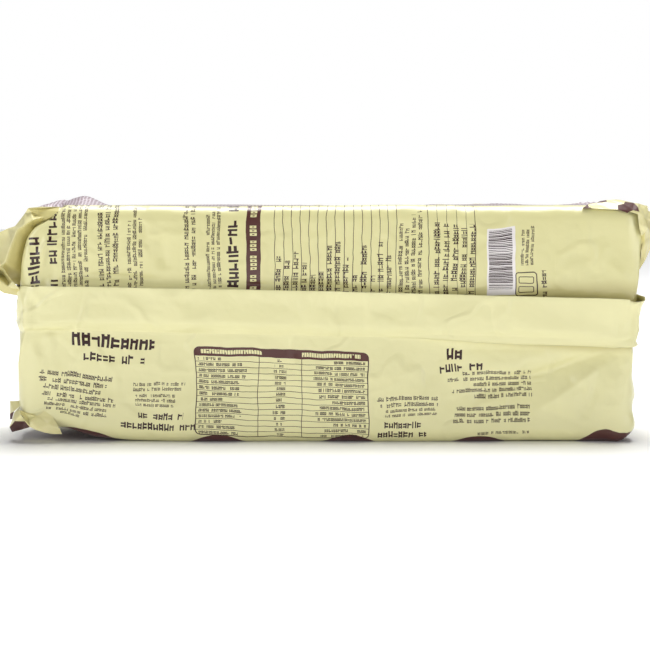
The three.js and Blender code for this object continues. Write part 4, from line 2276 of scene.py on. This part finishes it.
PRESSES = [
    Hollow(
        (
            (-129.5, 116.5), (-134.0, 111.0), (-138.5, 108.4), (-142.8, 106.2), (-145.0, 103.9),
            (-147.0, 100.8), (-148.2, 96.4), (-149.4, 91.9), (-150.0, 88.0), (-150.4, 82.0),
            (-151.0, 77.0), (-175.0, 77.0), (-175.0, 125.0), (-129.5, 125.0),
        ),
        (2.0, 8.0, -3.0),
        4.5,
    ),
    Press(((150.0, 8.0), (149.5, 22.0)), (2.4, 0.0, 0.0), (9.0, 12.0)),
    Press(((144.0, 3.0), (150.0, 7.0)), (2.0, -0.6, -2.0), (8.0, 9.0)),
    Hump((-122.5, -9.0), (14.0, 16.0), 4.6),
    Hump((-147.0, 0.0), (13.0, 44.0), -5.0),
]
UPPER_LEFT_EAR = Ear(
    "ear_upper_left",
    """
    a -147.7 -33 115.7, b -142.1 -31 115.2, c -137.8 -33.5 114.9, d -132 -39 114.2, d2 -131.9 -33 116.4,
    b2 -143.1 -18 116.5, a2 -149.1 -18 116, e -135.2 -38 111.7, f -140.1 -34.5 109.5,
    g -144.8 -33.5 107.4, h -145.4 -33 104.8, i -147.1 -31.5 101.6, j -148.5 -31 97.3,
    k -149.6 -30.5 93.1, l -150.5 -30 89.1, m -150.8 -30 82.6, n -150.2 -31 77.5, o1 -146.3 -32.5 113.7,
    o2 -144.4 -31 112.2, o3 -140.2 -34 111.5, p1 -144.2 -39.6 110.3, p2 -140.8 -38.2 111.1,
    r0 -148.6 -40 107.4, r1 -152.1 -40.2 105.2, r2 -155.5 -40.6 96.8, r3 -158.2 -39.6 89.4,
    r4 -159.8 -38 86.5, w1 -150 -28 113.4, w2 -153.1 -25 109.9, w3 -155.9 -23 106.8, w4 -159.8 -21 105.6,
    w5 -164 -20 103.8, w6 -167.4 -21 99.8, w7 -168.4 -24 92.9, w8 -166.9 -27 88, q1 -157.6 -31 102,
    q2 -162 -32 95.1, s1 -158.8 -28.5 81.1, s2 -155.8 -28.5 78.1, u0 -164.8 -38.5 89.4,
    u1 -160.6 -40.3 87.4, u2 -158.6 -40.8 86.2, u3 -156.7 -40.6 82.8, u4 -154.6 -40.4 80,
    u5 -151.2 -40.2 76.4, v5 -152.6 -35.5 72.7, v4 -156.8 -35 73.4, v3 -159.8 -34.5 73.9,
    v2 -162.4 -34 75.4, v0 -166 -33 77.8, x1 -165.2 -37 81.7, x2 -160.5 -38.8 80.1, x3 -156.9 -39.8 77.6,
    x4 -154.4 -40 76.4, z1 -165.7 -26 85, z2 -161.5 -27 82.5, z3 -158.1 -31 79.2
    """,
    (
        Sheet("a d2 d e f o3 o2 o1", "b c", "b-o2 b-o3 c-o3 c-e", dress=Dress.INNER),
        Sheet("a a2 b2 d2 b", above=True),
        Sheet("a o1 o2 o3 p2 p1 r0 r1 q1 w5 w4 w3 w2 w1", "", "o2-p1 r0-w2 r1-w3"),
        Sheet("w5 q1 r1 r2 r3 r4 u1 w8 w7 w6", "q2", "q2-r2 q2-r3 q2-w6 q2-w7"),
        Sheet("o3 f g h i j k l m n s2 s1 r4 r3 r2 r1 r0 p1 p2", "", "h-r1 j-r2 l-r3", dress=Dress.INNER),
        Sheet(
            "u0 u1 u2 u3 u4 u5 x4 x3 x2 x1",
            "z1 z2 z3",
            "z1-z2 z2-z3 z1-u1 z2-u3 z3-u4 z1-x1 z2-x2 z3-x3",
        ),
        Sheet("x1 x2 x3 x4 u5 v5 v4 v3 v2 v0", "", "x2-v2 x3-v3", dress=Dress.INNER),
    ),
)
LOWER_LEFT_EAR = Ear(
    "ear_lower_left",
    """
    s1 -159.3 -24 19, s1b -156.6 -26.5 19.3, s2 -153.8 -27 19.6, s3 -153 -32 17.4, s4 -155.8 -33 14.8,
    s5 -156.8 -33.5 11.1, s5b -158.1 -29 13.3, s6 -158.9 -27 10, s5c -158.9 -27 12.8, l1 -152.6 -37 17.7,
    l2 -152 -40 16.4, l3 -155.3 -35.5 14.6, l4 -156.4 -36 10.9, l5 -157.8 -35 7.3, l6 -154.2 -41.5 11.1,
    l7 -148.7 -43.5 11.3, l8 -151.1 -42.2 14.4, l9 -149.3 -41.8 11.8, m1 -146.4 -42.5 8.2,
    u1 -152.9 -30 5.2, u2 -158 -27 3.7, v2 -143.4 -40.6 13.4, v3 -147.7 -39.6 11.2, v4 -149.9 -41.6 13.3,
    v5 -147.1 -36.8 12.5, v6 -148.3 -39.2 14.7, c0 -146 -43.4 11.3, c1 -142.2 -42.6 12.2,
    c2 -142.9 -44.2 6.9, t1 -141.3 -40.4 13.2, t2 -139.6 -39.5 16, t3 -135.4 -39.7 12.8,
    t4 -133.2 -40.3 9.2, e1 -131.9 -40.6 6.8, e2 -131.1 -39.5 4.3, e3 -135.3 -41.5 4.6,
    e4 -138.9 -43.2 5.5, e5 -137.4 -43 9.8, t0 -143.4 -39.4 16.3
    """,
    (
        Sheet("s1 s1b s2 s3 s4 s5b s5c"),
        Sheet("s5c s5b s4 s5 s6", dress=Dress.INKED),
        Sheet("s3 l2 l8 l9 l7 l6 l5 l4 l3", "", "l8-l3 l6-l4 l8-l6"),
        # Painted shade: the lobe's underside gets the dark brown ink to stand for the shadow under it.
        Sheet("l5 l6 l7 m1 u1 u2", dress=Dress.INKED),
        Sheet("l2 v2 v3 l7 l9 v4 l8", "v5", "v5-v3 v5-v2 v5-l2 v4-v3"),
        Sheet(
            "l7 v3 v2 t2 t3 t4 e1 e2 e3 e4 c2 m1",
            "c0 c1 t1 e5",
            "c0-v3 c0-v2 c0-m1 c1-c2 c1-t1 t1-t2 c1-v2 e5-c1 e5-e4 e5-t3 e5-e1",
        ),
    ),
)
UPPER_RIGHT_EAR = Ear(
    "ear_upper_right",
    """
    f1 125.1 -39 115.7, f2 130 -39.4 115.8, f3 133.9 -39.6 115.5, f4 138.7 -39.8 115.3,
    f5 142.6 -40 115.2, f6 147.2 -40.4 113.5, f7 148.1 -40.4 114.1, f8 149.9 -40.4 114.8,
    f9 153 -40.6 114.1, r1 128.5 -36 117.9, r1b 128.6 -38.4 116.5, r2 130.5 -37 116.8, r3 133.2 -34 118.6,
    r3b 134.9 -32.5 119.4, r4 138.1 -31 119.9, r4b 138 -33 119, r3c 134.8 -34.5 118.5, r5 143.7 -30 120.3,
    r6 147 -34 119, r7 151.6 -33 118.5, r8 155.1 -30 118.1, r9 159.1 -27 117.1, d1 143 -37.5 117.4,
    d2 146 -37.2 118, d3 148.4 -38.6 116.5, d4 146.3 -40 114.9, k3 152.7 -38.2 116.4, b1 152.2 -41 112.8,
    b2 152.6 -41.2 109.1, b3 155.2 -40.6 111.5, b4 157.8 -38.6 105.9, b5 156.1 -39.2 104.1,
    b6 154.3 -40.2 102.2, b7 153.1 -40.8 105.7, b8 154.9 -41.4 107.4, o1 159.3 -30 114.4,
    o2 162.3 -26 113.4, o3 161.6 -30 111.4, o4 157.5 -36.5 110, g1 165.8 -18 107.8, g2 165.2 -19 101.8,
    g3 162.2 -22 95.8, g4 158.7 -27 90, g5 154.2 -33 84.7, g6 153 -35 94.2, g7 153.7 -36.5 102.6,
    g8 159.2 -33 104, g9 157.1 -34 97.1, x1 132.4 -16 116.5, x2 144.4 -10 117.3, x3 156 -10 116.8,
    x4 162.9 -14 115.8
    """,
    (
        Sheet("f1 r1 r1b f2", dress=Dress.INKED),
        Sheet("f2 r1b r1 r2 r3 r3c r4b r4 r5 r6 d2 d1 f5 f4 f3", "", "r2-f2 r3-f3 r4b-f4 r5-d2"),
        Sheet("r3 r3b r4 r4b r3c", dress=Dress.INKED),
        Sheet("d1 d2 d3 d4 f7 f6 f5", dress=Dress.INKED),
        Sheet("d2 r6 r7 k3 f9 f8 f7 d4 d3", dress=Dress.INKED),
        Sheet("r7 r8 r9 o1 o2 o3 o4 b3 f9 k3", "", "r8-k3 r8-f9 o1-b3"),
        Sheet("f7 f8 f9 b3 b4 b5 b6 b7 b2 b1", "b8", "b8-b3 b8-b4 b8-b5 b8-b2 b8-b7 b1-f9"),
        Sheet(
            "b3 o4 o3 g1 g2 g3 g4 g5 g6 g7 b5 b4",
            "g8 g9",
            "g8-o4 g8-g1 g8-g2 g8-b4 g9-g8 g9-g6 g9-g4 g9-g7",
            dress=Dress.INNER,
        ),
        Sheet("f1 x1 x2 x3 x4 r9 r8 r7 r6 r5 r4 r3b r3 r2 r1", "", "r5-x2 r7-x3 r3-x1", above=True),
    ),
)


def main() -> None:
    """Build the pack, its finishes and its studio."""
    logging.basicConfig(level=logging.INFO, format="%(message)s")
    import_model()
    sizes = PackSizes()
    Studio(sizes).build()
    closures = [
        EndClosure(Side.LEFT, LEFT_SEAL),
        EndClosure(Side.RIGHT, RIGHT_SEAL, keeps_level=True),
    ]
    grid = FilmGrid(sizes, closures)
    film, fin = grid.close()
    log.info("film closed over both ends: %d rows, %d columns", *film.shape[:2])
    finishes = [PrintedFilm().material(), CrimpedFilm().material()]
    creases = CREASES + [crease for crumple in CRUMPLES for crease in crumple.creases()]
    pieces = [Wrapper(grid, creases, FIN_CRUMPLE.creases(), PRESSES).build(film, fin, finishes)]
    palette = Palette()
    plain = [
        # The ears' bare film, the cream a little dimmed: partly painted shade.
        PlainFilm("bare_film", palette.bare).material(),
        PlainFilm("inked_film", palette.brown, 0.6, 0.0).material(),
        # Painted shade for the ears' sheets turned away from the light.
        PlainFilm("painted_shade_film", palette.inner, 0.42, 0.1).material(),
    ]
    pieces += [ear.build(plain) for ear in (UPPER_LEFT_EAR, LOWER_LEFT_EAR, UPPER_RIGHT_EAR)]
    for piece in pieces:
        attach(piece, "root")
        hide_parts("wrapped_block")
        log.info("%s: %d faces", piece.name, len(piece.data.polygons))


if __name__ == "__main__":
    main()
